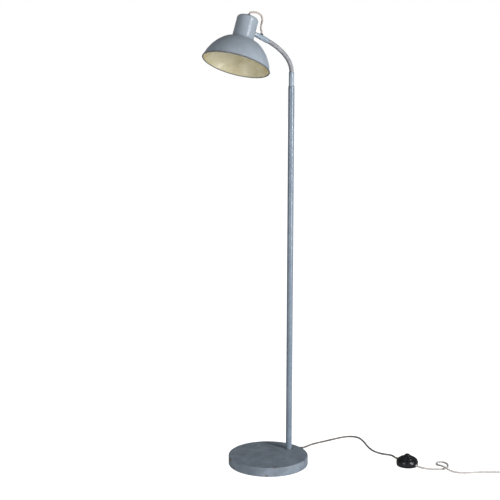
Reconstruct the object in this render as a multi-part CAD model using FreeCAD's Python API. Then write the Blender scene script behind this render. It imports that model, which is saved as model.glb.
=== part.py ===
import FreeCAD, Part
import math
import os

# Gooseneck reading floor lamp, in millimetres, +Z up.
# Origin: centre of the round base, on the floor. +X runs from there to the pole.
# The shade hangs over -X, and the XZ plane is the plane in which the neck bends.

V = FreeCAD.Vector
UP = V(0, 0, 1)
ALONG_X = V(1, 0, 0)
ALONG_Y = V(0, 1, 0)

# --- base ---
BASE_R = 125.0
BASE_TOP = 30.0
RIM_FOOT = 1.5            # the casting's rim clears the floor by this much
CEILING = 17.0            # top of the hollow under the base
HOLLOW_R = 111.0
PLATE_R = 113.7
PLATE_LOW = 2.5
PLATE_THICK = 1.5
PLATE_SCREW_PCD = 140.0
RIB_COUNT = 6
RIB_WIDTH = 6.0

# --- pole ---
POLE_X = 84.0
POLE_R = 9.5
POLE_WALL = 1.5
POLE_LOW = 9.8
SHOULDER_LOW = 1172.0     # the tube is swaged in above this height
POLE_TOP = 1179.0
COLLAR_R = 7.9
COLLAR_TOP = 1219.9

# --- floor cord entry ---
ENTRY_Y = 26.0
ENTRY_Z = 11.0
SPOT_FACE_X = 121.2
GLAND_END_X = 147.0
CLAMP_SCREW_Y = (20.2, 33.0)
CORE_BUNDLE_R = 2.2
CORD_R = 3.0              # smooth grey lead, base to foot switch
FLEX_R = 3.5              # twisted cloth flex, foot switch to plug
FLOOR_GAP = 0.05

# --- gooseneck: links with a ball above and a socket below ---
LINKS = 11
NECK_LENGTH = 138.5       # along the curve, from the collar's top to the last pivot
NECK_TURN = 68.5          # degrees between the pole and the arm's end sleeve
LINK_R = 6.45
LINK_BORE_R = 3.3
BALL_R = 5.25
SOCKET_R = 5.6
STEM_R = 4.5
RIM_DROP = 1.0            # the socket's rim stands this far below its pivot
GROOVE = 2.5              # open groove between two links when the neck is straight
FIRST_PIVOT = RIM_DROP + GROOVE
LINK_PITCH = (NECK_LENGTH - FIRST_PIVOT) / LINKS
NECK_FLEX_R = 2.5

# --- end sleeve and swivel ---
SLEEVE_R = 7.75
SLEEVE_LENGTH = 51.5
SLEEVE_TIP_R = 5.4
BUSH_AT = 26.0            # the flex leaves the sleeve this far from its root
BUSH_R = 4.1
BUSH_TOP = 10.6           # above the sleeve's axis
HEAD_FLEX_R = 3.2
STUD_R = 3.0
HEAD_REACH = 88.3         # from the last pivot to the shade's axis

# --- head, about the shade's axis; height 0 is the swivel stud ---
HEAD_TILT = 21.5          # the shade's axis leans back from vertical
HEAD_TURN = 4.65          # and is swivelled this much about the stud
HOUSING_R = 31.7
HOUSING_WALL = 1.2
HOUSING_LOW = -33.9
HOUSING_EDGE = 26.8       # the cap's rounded edge starts here
CAP_TOP = 38.2
CROWN_TOP = 44.6          # top of the nut through which the flex enters the head
SHADE_T = 1.1
SHADE_NECK_R = 20.6
SHADE_START_R = 28.8
SHADE_ARCS = ((46.1, 37.8), (119.8, 64.6), (94.7, 79.2))   # radius, heading at its end
BEAD_R = 1.9
HOLDER_R = 20.0
HOLDER_LOW = -60.0
THREAD_R = 13.2           # bore for a 27 mm screw cap

# --- foot switch ---
SWITCH_X = 335.5
SWITCH_Y = -280.0
SWITCH_AZIMUTH = -82.75   # heading of the cord through it
SWITCH_R = 34.0
SWITCH_WIDEST = 11.0      # height at which the cover reaches its full radius
CORD_HOLE_Z = 11.0        # the smooth lead's way in
FLEX_HOLE_Z = 7.5         # the cloth flex's way out
SWITCH_SCREW_Y = 22.0
BUTTON_R = 9.6
BUTTON_LOW = 26.0
BUTTON_TOP = 38.0

# --- coil and plug ---
COIL_X = 588.5
COIL_Y = -509.0
COIL_AZIMUTH = -37.75
COIL_R = 46.3
COIL_PITCH = 7.5
PLUG_Z = 6.95
PIN_R = 2.0
PIN_SPACING = 18.6
PIN_LENGTH = 19.0
PIN_TAPER = 1.2           # at the tip
PLUG_LENGTH = 36.0

# Routes of the free cord, chosen by eye along the cord as it lies.
CORD_ROUTE = [
    (147.0, 26.0, 11.0), (156.5, 26.0, 11.0), (170.0, 29.5, 6.2), (190.0, 38.0, 3.1),
    (221.0, 44.5, 3.1), (270.0, 41.0, 3.1), (324.0, 37.5, 3.1), (366.0, 33.0, 3.1),
    (392.5, 6.0, 3.1), (377.5, -38.0, 3.1), (351.5, -84.0, 3.1), (331.5, -128.0, 3.1),
    (336.5, -168.0, 3.1), (344.0, -195.0, 3.6), (336.5, -215.5, 7.2), (329.88, -235.86, 11.0),
    (331.65, -249.75, 11.0),
]
FLEX_ROUTE = [
    (339.35, -310.25, 7.5), (341.5, -324.0, 6.8), (347.5, -338.0, 4.4), (361.0, -355.5, 3.6),
    (377.5, -371.5, 3.6), (394.0, -381.0, 3.6), (410.5, -381.5, 3.6), (424.0, -374.5, 3.6),
    (434.0, -364.5, 3.6), (440.5, -351.5, 3.6), (438.5, -338.5, 3.6), (429.0, -330.5, 3.6),
    (415.5, -332.0, 3.6), (405.5, -341.5, 3.8), (399.0, -354.5, 7.2), (395.0, -370.5, 11.3),
    (392.0, -387.5, 11.3), (392.5, -402.5, 7.8), (398.5, -416.5, 4.3), (408.0, -430.0, 3.6),
    (428.0, -446.5, 3.6), (459.5, -465.0, 3.6), (490.5, -486.5, 3.6), (516.0, -509.0, 3.6),
]
# From the coil's last turn down to the plug, about the coil's centre before it is turned.
TAIL_ROUTE = [
    (17.0, -COIL_R, 11.05), (34.0, -43.0, 9.4), (50.0, -32.0, 6.0), (60.0, -15.0, 5.4),
    (63.2, 3.0, PLUG_Z), (63.2, 17.0, PLUG_Z),
]
HEAD_FLEX_ROUTE = [
    (-28.6, 0.2, 1350.0), (-29.0, 0.6, 1366.0), (-32.0, 1.0, 1380.5), (-41.5, 1.8, 1391.5),
    (-55.0, 2.8, 1396.0),
]


# ---------------------------------------------------------------- helpers

def arc_between(start, corner, end):
    """Circular arc that touches both equal legs of the corner."""
    turn = (corner - start).getAngle(end - corner)
    weight = math.cos(turn / 2)
    middle = (start + corner * (2 * weight) + end) / (2 + 2 * weight)
    return Part.Arc(start, middle, end).toShape()


def lathe(outline):
    """Solid of revolution about Z. A step is (r, z), or ((r, z) on the arc, (r, z) at its end)."""
    edges = []
    here = outline[0]
    for step in outline[1:] + [outline[0]]:
        if isinstance(step[0], tuple):
            middle, there = step
            edges.append(Part.Arc(V(here[0], 0, here[1]), V(middle[0], 0, middle[1]),
                                  V(there[0], 0, there[1])).toShape())
        else:
            there = step
            if math.dist(here, there) > 1e-6:
                edges.append(Part.LineSegment(V(here[0], 0, here[1]),
                                              V(there[0], 0, there[1])).toShape())
        here = there
    return Part.Face(Part.Wire(edges)).revolve(V(0, 0, 0), UP, 360)


def ring(outer, inner, low, high):
    """Plain ring or bush about Z."""
    return lathe([(inner, low), (outer, low), (outer, high), (inner, high)])


def rod(radius, length, start, axis=UP):
    return Part.makeCylinder(radius, length, V(*start), axis)


def block(x0, x1, y0, y1, z0, z1):
    return Part.makeBox(x1 - x0, y1 - y0, z1 - z0, V(x0, y0, z0))


def prism(sides, across_flats, low, high):
    """Regular prism about Z, such as a nut without its hole."""
    corner = across_flats / 2 / math.cos(math.pi / sides)
    points = []
    for i in range(sides + 1):
        a = 2 * math.pi * i / sides
        points.append(V(corner * math.cos(a), corner * math.sin(a), low))
    return Part.Face(Part.makePolygon(points)).extrude(V(0, 0, high - low))


def placed(shape, origin, rotation=None):
    """Copy of the shape, turned and then moved."""
    moved = shape.copy()
    there = FreeCAD.Placement(V(*origin), rotation or FreeCAD.Rotation())
    moved.Placement = there.multiply(shape.Placement)
    return moved


def bent_wire(points, name):
    """Straight runs joined by tangent arcs, each as large as its two runs allow."""
    corners = [V(*p) for p in points]
    here = corners[0]
    edges = []
    radii = []
    for before, corner, after in zip(corners, corners[1:], corners[2:]):
        setback = 0.45 * min((corner - before).Length, (after - corner).Length)
        start = corner + (before - corner).normalize() * setback
        end = corner + (after - corner).normalize() * setback
        turn = (corner - before).getAngle(after - corner)
        radii.append(setback / math.tan(turn / 2))
        edges.append(Part.LineSegment(here, start).toShape())
        edges.append(arc_between(start, corner, end))
        here = end
    edges.append(Part.LineSegment(here, corners[-1]).toShape())
    print(f"{name}: least radius {min(radii):.1f}, all {[round(r) for r in radii]}")
    return Part.Wire(edges)


def swept(wire, radius, name):
    """Round tube solid along the wire, with its volume held against section times length."""
    edge = wire.Edges[0]
    start = edge.valueAt(edge.FirstParameter)
    heading = edge.tangentAt(edge.FirstParameter)
    section = Part.Wire(Part.makeCircle(radius, start, heading))
    tube = wire.makePipeShell([section], True, False)
    share = tube.Volume / (math.pi * radius ** 2 * wire.Length)
    print(f"{name}: length {wire.Length:.1f}, volume over section x length {share:.4f}")
    return tube


def save(node, *solids):
    shape = solids[0] if len(solids) == 1 else Part.makeCompound(list(solids))
    if not shape.isValid():
        print(f"{node} is not valid")
    shape.exportStep(f"parts/{node}.step")


# ---------------------------------------------------------------- base

def base_casting():
    """Heavy disc, hollow and ribbed below, bored for the pole and the lead."""
    disc = lathe([
        (0, BASE_TOP), (BASE_R - 3, BASE_TOP),
        ((BASE_R - 0.879, BASE_TOP - 0.879), (BASE_R, BASE_TOP - 3)),
        (BASE_R, RIM_FOOT + 1), (BASE_R - 1, RIM_FOOT), (PLATE_R + 0.3, RIM_FOOT),
        (PLATE_R + 0.3, PLATE_LOW + PLATE_THICK), (HOLLOW_R, PLATE_LOW + PLATE_THICK),
        (HOLLOW_R - 2.5, CEILING), (0, CEILING),
    ])
    ribs = []
    for i in range(RIB_COUNT):
        angle = 30 + 360 / RIB_COUNT * i
        rib = block(18, HOLLOW_R - 1, -RIB_WIDTH / 2, RIB_WIDTH / 2, CEILING - 9, CEILING + 1)
        rib.rotate(V(0, 0, 0), UP, angle)
        ribs.append(rib)
    hub = rod(22, CEILING - 7, (0, 0, 8))
    bosses = []
    holes = [rod(POLE_R + 0.15, BASE_TOP, (POLE_X, 0, 2))]
    for i in range(3):
        angle = math.radians(30 + 120 * i)
        x = PLATE_SCREW_PCD / 2 * math.cos(angle)
        y = PLATE_SCREW_PCD / 2 * math.sin(angle)
        bosses.append(rod(6, CEILING - 3, (x, y, PLATE_LOW + PLATE_THICK)))
        holes.append(rod(1.6, 9, (x, y, PLATE_LOW + PLATE_THICK - 0.1)))
    clamp_pad = block(79, 89, 17.9, 36, 14.1, CEILING + 1)
    holes += [rod(1.5, 2.4, (84, y, 14)) for y in CLAMP_SCREW_Y]
    casting = disc.multiFuse([hub, clamp_pad] + ribs + bosses)
    lead_hole = rod(5.0, 40, (95, ENTRY_Y, ENTRY_Z), ALONG_X)
    outer_face = rod(8.5, 20, (SPOT_FACE_X, ENTRY_Y, ENTRY_Z), ALONG_X)
    inner_face = rod(8.0, 12, (93.8, ENTRY_Y, ENTRY_Z), ALONG_X)
    return casting.cut(Part.makeCompound(holes + [lead_hole, outer_face, inner_face]))


def plate_and_felt():
    plate = rod(PLATE_R, PLATE_THICK, (0, 0, PLATE_LOW))
    felt = rod(PLATE_R - 2.5, PLATE_LOW, (0, 0, 0))
    screws = []
    for i in range(3):
        angle = math.radians(30 + 120 * i)
        at = (PLATE_SCREW_PCD / 2 * math.cos(angle), PLATE_SCREW_PCD / 2 * math.sin(angle), 0)
        low = PLATE_LOW + 0.05
        cone = Part.makeCone(3.2, 1.5, 1.4, V(at[0], at[1], low), UP)
        hole = Part.makeCone(3.4, 1.7, PLATE_THICK + 0.02, V(at[0], at[1], PLATE_LOW - 0.01), UP)
        plate = plate.cut(hole)
        slot = block(-3.5, 3.5, -0.4, 0.4, low - 1, low + 0.5)
        screws.append(cone.fuse(rod(1.45, 7.4, (at[0], at[1], low + 1.4)))
                      .cut(placed(slot, (at[0], at[1], 0))))
    save("base_bottom_plate", plate)
    save("base_felt_pad", felt)
    save("base_plate_screws", *screws)


def lead_entry():
    """Rubber gland at the rim, the lead inside the base, and the bar that clamps it."""
    gland = lathe([
        (CORD_R + 0.05, 102.6), (6.6, 102.6), (6.6, 105.7), (4.9, 105.7), (4.9, SPOT_FACE_X),
        (7.6, SPOT_FACE_X), (7.6, SPOT_FACE_X + 2), (6.0, SPOT_FACE_X + 3),
        (4.1, GLAND_END_X), (CORD_R + 0.05, GLAND_END_X),
    ])
    gland.rotate(V(0, 0, 0), ALONG_Y, 90)
    gland.translate(V(0, ENTRY_Y, ENTRY_Z))
    save("cord_gland", gland)
    save("base_lead", rod(CORD_R, GLAND_END_X - 68, (68, ENTRY_Y, ENTRY_Z), ALONG_X))
    bar = block(80.5, 87.5, 18.1, 35.6, 6.2, 7.95)
    holes = [rod(1.7, 3, (84, y, 5.5)) for y in CLAMP_SCREW_Y]
    save("cord_clamp_bar", bar.cut(Part.makeCompound(holes)))
    screws = []
    for y in CLAMP_SCREW_Y:
        head = rod(2.7, 1.5, (84, y, 4.65)).cut(block(80, 88, y - 0.35, y + 0.35, 4, 5.2))
        screws.append(head.fuse(rod(1.45, 9.9, (84, y, 6.15))))
    save("cord_clamp_screws", *screws)
    cores = [
        (68, ENTRY_Y, ENTRY_Z), (58.0, ENTRY_Y, ENTRY_Z), (50.0, 17.5, 6.8), (54.0, 4.0, 6.5),
        (67.0, 0, 6.5), (81.0, 0, 6.5), (84.1, 0, 18), (84, 0, 35), (84, 0, COLLAR_TOP - 12),
    ]
    tube = swept(bent_wire(cores, "supply_cores"), CORE_BUNDLE_R, "supply_cores")
    save("supply_cores", tube)


# ---------------------------------------------------------------- pole

def pole():
    bore = POLE_R - POLE_WALL
    at = (POLE_X, 0, 0)
    tube = lathe([
        (bore, POLE_LOW), (POLE_R, POLE_LOW), (POLE_R, SHOULDER_LOW),
        ((POLE_R - 0.2, SHOULDER_LOW + 3), (POLE_R - 0.75, POLE_TOP - 1.2)),
        ((POLE_R - 0.95, POLE_TOP - 0.35), (bore + 0.1, POLE_TOP)), (bore, POLE_TOP),
    ])
    save("pole_tube", placed(tube, at))
    foot = lathe([(9.65, BASE_TOP), (11.8, BASE_TOP), (11.8, BASE_TOP + 1.2),
                  (11.0, BASE_TOP + 2), (9.65, BASE_TOP + 2)])
    save("pole_foot_ring", placed(foot, at))
    save("pole_washer", placed(ring(17, 9.75, CEILING - 1.8, CEILING - 0.02), at))
    nut = prism(6, 27, CEILING - 6.8, CEILING - 1.85).cut(rod(POLE_R + 0.1, 12, (0, 0, 8)))
    save("pole_nut", placed(nut, at))
    collar = lathe([
        (LINK_BORE_R, SHOULDER_LOW - 10), (COLLAR_R, SHOULDER_LOW - 10), (COLLAR_R, COLLAR_TOP - 0.8),
        (COLLAR_R - 0.8, COLLAR_TOP), (STEM_R, COLLAR_TOP),
    ] + ball_outline(COLLAR_TOP + FIRST_PIVOT))
    save("neck_collar", placed(collar, at))


# ---------------------------------------------------------------- gooseneck

def neck_angle(u):
    """Degrees from vertical at share u of the neck's length: tight at the foot, slack at the end."""
    return NECK_TURN * (u + u * (1 - u) * (1.55 - 1.1 * u))


def neck_line():
    """Pivots of the links, and each link's tilt from vertical."""
    pivots = [V(POLE_X, 0, COLLAR_TOP + FIRST_PIVOT)]
    tilts = []
    for i in range(LINKS):
        tilt = neck_angle((FIRST_PIVOT + (i + 0.5) * LINK_PITCH) / NECK_LENGTH)
        tilts.append(tilt)
        step = V(-math.sin(math.radians(tilt)), 0, math.cos(math.radians(tilt))) * LINK_PITCH
        pivots.append(pivots[-1] + step)
    return pivots, tilts


def ball_outline(pivot_z):
    """Outline of an upper ball, from its stem over the ball to its bore."""
    low = math.sqrt(BALL_R ** 2 - STEM_R ** 2)
    return [
        (STEM_R, pivot_z - low), (BALL_R, pivot_z - 1.1), (BALL_R, pivot_z + 0.6),
        (BALL_R - 0.65, pivot_z + 2.3), (LINK_BORE_R, pivot_z + 2.3),
    ]


def socket_outline(outer_r):
    """Outline of a lower socket about a pivot at height 0, from its bore to the rim's outer edge."""
    return [
        (LINK_BORE_R, 5.2), (SOCKET_R + 0.1, 1.9), (SOCKET_R + 0.1, -RIM_DROP), (outer_r, -RIM_DROP),
    ]


def neck_link():
    """One link: a socket that takes the ball below, and a ball on a short stem above."""
    shoulder = LINK_PITCH - FIRST_PIVOT
    return lathe(socket_outline(LINK_R) + [(LINK_R, shoulder), (STEM_R, shoulder)]
                 + ball_outline(LINK_PITCH))


# ---------------------------------------------------------------- end sleeve and swivel

def sleeve_parts(root, turn):
    """Everything that is fixed to the arm's end. Local Z runs along the sleeve, X on its upper side."""
    tip = SLEEVE_LENGTH
    sleeve = lathe(socket_outline(SLEEVE_R) + [
        (SLEEVE_R, 34), ((7.35, 43), (SLEEVE_TIP_R, tip)),
        (STUD_R + 0.02, tip), (STUD_R + 0.02, 36), (LINK_BORE_R, 36),
    ])
    sleeve = sleeve.cut(rod(BUSH_R + 0.05, 10, (0, 0, BUSH_AT), ALONG_X))
    flange = lathe([(HEAD_FLEX_R + 0.05, 5), (5.3, 5), (5.3, 9.0), (4.3, BUSH_TOP),
                    (HEAD_FLEX_R + 0.05, BUSH_TOP)])
    flange.rotate(V(0, 0, 0), ALONG_Y, 90)
    flange.translate(V(0, 0, BUSH_AT))
    flange = flange.cut(rod(SLEEVE_R + 0.05, 20, (0, 0, BUSH_AT - 10)))
    spigot = ring(BUSH_R, HEAD_FLEX_R + 0.05, 4.5, 8.5)
    spigot.rotate(V(0, 0, 0), ALONG_Y, 90)
    spigot.translate(V(0, 0, BUSH_AT))
    stud = lathe([(0, 36.1), (STUD_R, 36.1), (STUD_R, 65.2), (STUD_R - 0.6, 65.8), (0, 65.8)])
    nut = prism(6, 10, 60.0, 64.6).cut(rod(STUD_R + 0.02, 12, (0, 0, 56)))
    spring = lathe([(STUD_R + 0.3, tip + 0.1), (6.4, tip + 0.5), (6.4, tip + 1.3),
                    (STUD_R + 0.3, tip + 0.9)])
    save("arm_sleeve", placed(sleeve, root, turn))
    save("flex_bush", placed(flange.fuse(spigot), root, turn))
    save("swivel_stud", placed(stud, root, turn))
    save("swivel_nut", placed(nut, root, turn))
    save("swivel_spring_washer", placed(spring, root, turn))


# ---------------------------------------------------------------- head

def shade_outline(offset):
    """End points of the dome's arcs, set in from the outer face by offset, each with a mid point."""
    steps = []
    r, z, heading = SHADE_START_R, HOUSING_LOW, 0.0
    for radius, end in SHADE_ARCS:
        end = math.radians(end)
        middle = (heading + end) / 2
        centre = (r - radius * math.sin(heading), z - radius * math.cos(heading))
        inner = radius - offset
        steps.append(((centre[0] + inner * math.sin(middle), centre[1] + inner * math.cos(middle)),
                      (centre[0] + inner * math.sin(end), centre[1] + inner * math.cos(end))))
        r = centre[0] + radius * math.sin(end)
        z = centre[1] + radius * math.cos(end)
        heading = end
    return steps


def shade():
    """Spun dome with a flat top for the clamp ring and a rolled bead at its mouth."""
    outer = shade_outline(0)
    inner = shade_outline(SHADE_T)
    mouth_r, mouth_z = outer[-1][1]
    outline = [(SHADE_NECK_R, HOUSING_LOW), (SHADE_START_R, HOUSING_LOW)] + outer
    for angle in (60, 10, -45, -100, -155):
        turn = math.radians(angle)
        outline.append((mouth_r + 0.3 + BEAD_R * math.cos(turn), mouth_z - 1.6 + BEAD_R * math.sin(turn)))
    ends = [(SHADE_START_R, HOUSING_LOW - SHADE_T)] + [step[1] for step in inner]
    outline.append(inner[-1][1])
    for i in (2, 1, 0):
        outline.append((inner[i][0], ends[i]))
    outline.append((SHADE_NECK_R, HOUSING_LOW - SHADE_T))
    return lathe(outline)


def housing():
    """Pressed cup over the lampholder, open below, with a stud hole and a crown hole."""
    wall = HOUSING_WALL
    edge_r = HOUSING_R - 8.6
    cup = lathe([
        (HOUSING_R - wall, HOUSING_LOW + 0.02), (HOUSING_R, HOUSING_LOW + 0.02),
        (HOUSING_R, HOUSING_EDGE),
        ((edge_r + 8.6 * math.cos(math.radians(42)), HOUSING_EDGE + 8.6 * math.sin(math.radians(42))),
         (edge_r + 8.6 * math.cos(math.radians(80)), HOUSING_EDGE + 8.6 * math.sin(math.radians(80)))),
        ((15.5, 37.2), (5.1, CAP_TOP)), (5.1, CAP_TOP - wall),
        ((15.3, 36.0), (edge_r + 1.3, HOUSING_EDGE + 7.3)),
        ((edge_r + 7.4 * math.cos(math.radians(40)), HOUSING_EDGE + 7.4 * math.sin(math.radians(40))),
         (HOUSING_R - wall, HOUSING_EDGE)),
    ])
    return cup.cut(rod(STUD_R + 0.3, 10, (25, 0, 0), ALONG_X))


def lampholder():
    """Pieces of the screw-cap lampholder on its threaded nipple, top down."""
    nipple = ring(4.98, 3.7, -8, 41)
    locknut = prism(6, 15, 33.4, 36.5).cut(rod(5.05, 12, (0, 0, 28)))
    crown = lathe([(5.05, CAP_TOP + 0.05), (7.6, CAP_TOP + 0.05), (7.6, 40.0), (6.2, 42.6),
                   (5.4, CROWN_TOP), (HEAD_FLEX_R + 0.05, CROWN_TOP), (HEAD_FLEX_R + 0.05, 41.1),
                   (5.05, 41.1)])
    cap = lathe([
        (5.05, -4), (8.5, -4), (8.5, -7.5), (15.2, -9.5), (19.0, -15), (19.0, -21.6),
        (16.8, -21.6), (16.8, -16), (13.8, -11.6), (5.05, -9.2),
    ])
    skirt = lathe([
        (17.6, -22), (HOLDER_R, -22), (HOLDER_R, HOLDER_LOW + 1), (HOLDER_R - 1, HOLDER_LOW),
        (THREAD_R + 1.3, HOLDER_LOW), (THREAD_R + 1.3, HOLDER_LOW + 2), (17.6, HOLDER_LOW + 2),
    ])
    thread = lathe([(THREAD_R, -34), (14.0, -34), (14.0, HOLDER_LOW + 2.2), (THREAD_R, HOLDER_LOW + 2.2)])
    insulator = rod(17.3, 9.6, (0, 0, -32.5))
    insulator = insulator.cut(block(-18, 18, 10.5, 18, -27.5, -22))
    contacts = [lathe([(0, -33.7), (3.4, -33.7), (4.0, -33.2), (4.0, -32.6), (0, -32.6)])]
    contacts.append(block(9.0, 13.0, -3, 3, -33.7, -32.6))
    screws = [rod(1.9, 2.8, (x, 12.6, -27.3)) for x in (-8.0, 8.0)]
    ring_nut = lathe([(HOLDER_R + 0.1, -36.0), (27.5, -36.0 + 0.95), (27.5, -37.6), (25.0, -40.6),
                      (HOLDER_R + 0.1, -40.6)])
    return {
        "holder_nipple": [nipple], "cap_locknut": [locknut], "cap_cord_nut": [crown],
        "holder_cap": [cap], "holder_skirt": [skirt], "holder_thread": [thread],
        "holder_insulator": [insulator], "holder_contacts": contacts,
        "holder_screws": screws, "shade_ring": [ring_nut],
    }


def swivel_saddle():
    """Washer between the spring washer and the housing: flat outside, hollowed to the housing."""
    saddle = rod(7.2, 5, (30.2, 0, 0), ALONG_X)
    saddle = saddle.cut(rod(HOUSING_R + 0.03, 40, (0, 0, -20)))
    return saddle.cut(rod(STUD_R + 0.08, 20, (20, 0, 0), ALONG_X))


def inner_washer():
    """Washer inside the housing: rounded to its wall outside, flat towards the nut."""
    washer = rod(6.4, 5, (28.6, 0, 0), ALONG_X)
    washer = washer.common(rod(HOUSING_R - HOUSING_WALL - 0.03, 40, (0, 0, -20)))
    return washer.cut(rod(STUD_R + 0.08, 20, (20, 0, 0), ALONG_X))


def head(centre, turn):
    save("shade", placed(shade(), centre, turn))
    save("lamp_housing", placed(housing(), centre, turn))
    save("swivel_saddle", placed(swivel_saddle(), centre, turn))
    save("swivel_inner_washer", placed(inner_washer(), centre, turn))
    for node, solids in lampholder().items():
        save(node, *[placed(s, centre, turn) for s in solids])


def flexes(pivots, root, turn, centre, head_turn):
    """The flex inside the neck, and its free loop from the sleeve to the crown of the head."""
    start = V(POLE_X, 0, COLLAR_TOP - 12)
    inside = root + turn.multVec(V(0, 0, BUSH_AT - 6))
    line = [start] + pivots[0:4] + pivots[5::2] + [inside]
    save("neck_flex", swept(bent_wire(line, "neck_flex"), NECK_FLEX_R, "neck_flex"))
    low = root + turn.multVec(V(4.6, 0, BUSH_AT))
    crown = centre + head_turn.multVec(UP * 41.1)
    above = centre + head_turn.multVec(UP * (CROWN_TOP + 13))
    out_of_bush = root + turn.multVec(V(16, 0, BUSH_AT))
    loop = [low, out_of_bush] + [V(*p) for p in HEAD_FLEX_ROUTE] + [above, crown]
    save("head_flex", swept(bent_wire(loop, "head_flex"), HEAD_FLEX_R, "head_flex"))


# ---------------------------------------------------------------- foot switch

def foot_switch():
    """Round foot switch: sole plate, domed cover with stepped rings, push button and its works."""
    centre = (SWITCH_X, SWITCH_Y, 0)
    turn = FreeCAD.Rotation(UP, SWITCH_AZIMUTH)
    sole = rod(SWITCH_R - 3, 3.5, (0, 0, 0))
    cover = lathe([
        (SWITCH_R - 2.8, 0.6), (SWITCH_R - 1.6, 0.6), ((SWITCH_R - 0.524, 5.0), (SWITCH_R, SWITCH_WIDEST)),
        ((SWITCH_R - 2.46, 19.07), (25.0, 24.4)), (23.0, 24.9), (23.0, 26.2), ((19.5, 27.5), (17.0, 27.9)),
        (15.4, 28.2), (15.4, 29.6), ((13.0, 30.6), (10.0, 30.9)),
        (10.0, 24.4), (14.5, 23.8), ((25.0, 19.2), (SWITCH_R - 2.8, 9)),
    ])
    holes = [rod(CORD_R + 0.3, 10, (-SWITCH_R - 2, 0, CORD_HOLE_Z), ALONG_X),
             rod(FLEX_R + 0.3, 10, (SWITCH_R - 8, 0, FLEX_HOLE_Z), ALONG_X)]
    for y in (-SWITCH_SCREW_Y, SWITCH_SCREW_Y):
        cover = cover.fuse(rod(3.5, 19.6, (0, y, 3.6)))
        holes.append(rod(1.45, 6.5, (0, y, 3.5)))
    cover = cover.cut(Part.makeCompound(holes))
    crown_r = BUTTON_R - 2
    crown_rise = 2.4
    bend = (crown_r ** 2 + crown_rise ** 2) / (2 * crown_rise)
    half = math.asin(crown_r / bend) / 2
    button = lathe([
        (0, 13.5), (3.0, 13.5), (3.0, BUTTON_LOW), (BUTTON_R, BUTTON_LOW), (BUTTON_R, 33.0),
        ((BUTTON_R - 0.7, 34.2), (crown_r, 34.6)), (crown_r, BUTTON_TOP - crown_rise),
        ((bend * math.sin(half), BUTTON_TOP - bend * (1 - math.cos(half))), (0, BUTTON_TOP)),
    ])
    works = block(-13, 13, -9, 9, 3.6, 15.0).cut(rod(3.4, 12, (0, 0, 8.5)))
    terminals = []
    for x in (-15.5, 15.5):
        for y in (-5.0, 5.0):
            terminals.append(block(x - 2.2, x + 2.2, y - 2.2, y + 2.2, 3.6, 9.0))
    spring = ring(5.0, 3.8, 15.1, BUTTON_LOW - 0.1)
    screws = []
    for y in (-SWITCH_SCREW_Y, SWITCH_SCREW_Y):
        screws.append(rod(2.6, 1.6, (0, y, 0.3)).fuse(rod(1.4, 8.0, (0, y, 1.8))))
        sole = sole.cut(rod(2.8, 2.2, (0, y, -0.1))).cut(rod(1.6, 5, (0, y, -0.5)))
    save("switch_sole", placed(sole, centre, turn))
    save("switch_cover", placed(cover, centre, turn))
    save("switch_button", placed(button, centre, turn))
    save("switch_works", placed(works, centre, turn))
    save("switch_terminals", *[placed(t, centre, turn) for t in terminals])
    save("switch_spring", placed(spring, centre, turn))
    save("switch_screws", *[placed(s, centre, turn) for s in screws])


# ---------------------------------------------------------------- free cord, coil and plug

def half_turn(here, radius, side, rise):
    """Half turn of the coil as two arcs, which climb by rise, and the point where it ends."""
    there = here + V(0, 2 * radius * side, rise)
    out = ALONG_X * ((there - here).Length / 2 * side)
    middle = (here + there) / 2 + out
    return [arc_between(here, here + out, middle), arc_between(middle, there + out, there)], there


def coil_wire(base_z):
    """Two flat spirals, in below and out above, of half turns that shrink by half the pitch."""
    step = COIL_PITCH / 2
    here = V(0, -COIL_R, base_z)
    edges = [Part.LineSegment(here - ALONG_X * (2 * FLEX_R), here).toShape()]
    side = 1
    for inward in (0, 1, 2, 3, 4, 3, 2, 1):
        rise = COIL_PITCH if inward == 4 else 0
        arcs, here = half_turn(here, COIL_R - inward * step, side, rise)
        edges += arcs
        side = -side
    end = here + ALONG_X * (2 * FLEX_R)
    edges.append(Part.LineSegment(here, end).toShape())
    return Part.Wire(edges), end


def least_gap(wire, radius):
    """Least gap between turns, on points along the wire that lie over half a turn apart."""
    points = wire.discretize(Distance=3.0)
    apart = int(2.2 * COIL_R / 3.0)
    least = min((a - b).Length for i, a in enumerate(points) for b in points[i + apart:])
    return least - 2 * radius


def rounded_slot(half_width, half_height, z):
    """Closed wire: a rectangle with well rounded corners."""
    r = 0.85 * half_height
    arcs = []
    for i, (sx, sy) in enumerate(((1, 1), (-1, 1), (-1, -1), (1, -1))):
        centre = V(sx * (half_width - r), sy * (half_height - r), z)
        turns = [math.radians(90 * i + a) for a in (0, 45, 90)]
        arcs.append([centre + V(r * math.cos(a), r * math.sin(a), 0) for a in turns])
    edges = []
    for arc, following in zip(arcs, arcs[1:] + arcs[:1]):
        edges.append(Part.Arc(*arc).toShape())
        edges.append(Part.LineSegment(arc[2], following[0]).toShape())
    return Part.Wire(edges)


def plug():
    """Flat two-pin plug, local Z from the cord's end to the pins."""
    sections = ((4.4, 4.3, 0), (5.4, 4.8, 9), (10.5, 6.4, 17), (13.0, 6.85, 24), (13.0, 6.85, PLUG_LENGTH))
    body = Part.makeLoft([rounded_slot(*s) for s in sections], True, True)
    pins = []
    for x in (-PIN_SPACING / 2, PIN_SPACING / 2):
        tip = PLUG_LENGTH + PIN_LENGTH
        pin = lathe([(0, 24), (PIN_R - 0.5, 24), (PIN_R - 0.5, PLUG_LENGTH), (PIN_R, PLUG_LENGTH),
                     (PIN_R, tip - PIN_TAPER), (PIN_R - 0.9, tip), (0, tip)])
        pin.translate(V(x, 0, 0))
        pins.append(pin)
    for pin in pins:
        body = body.cut(pin)
    return body, pins


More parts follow.
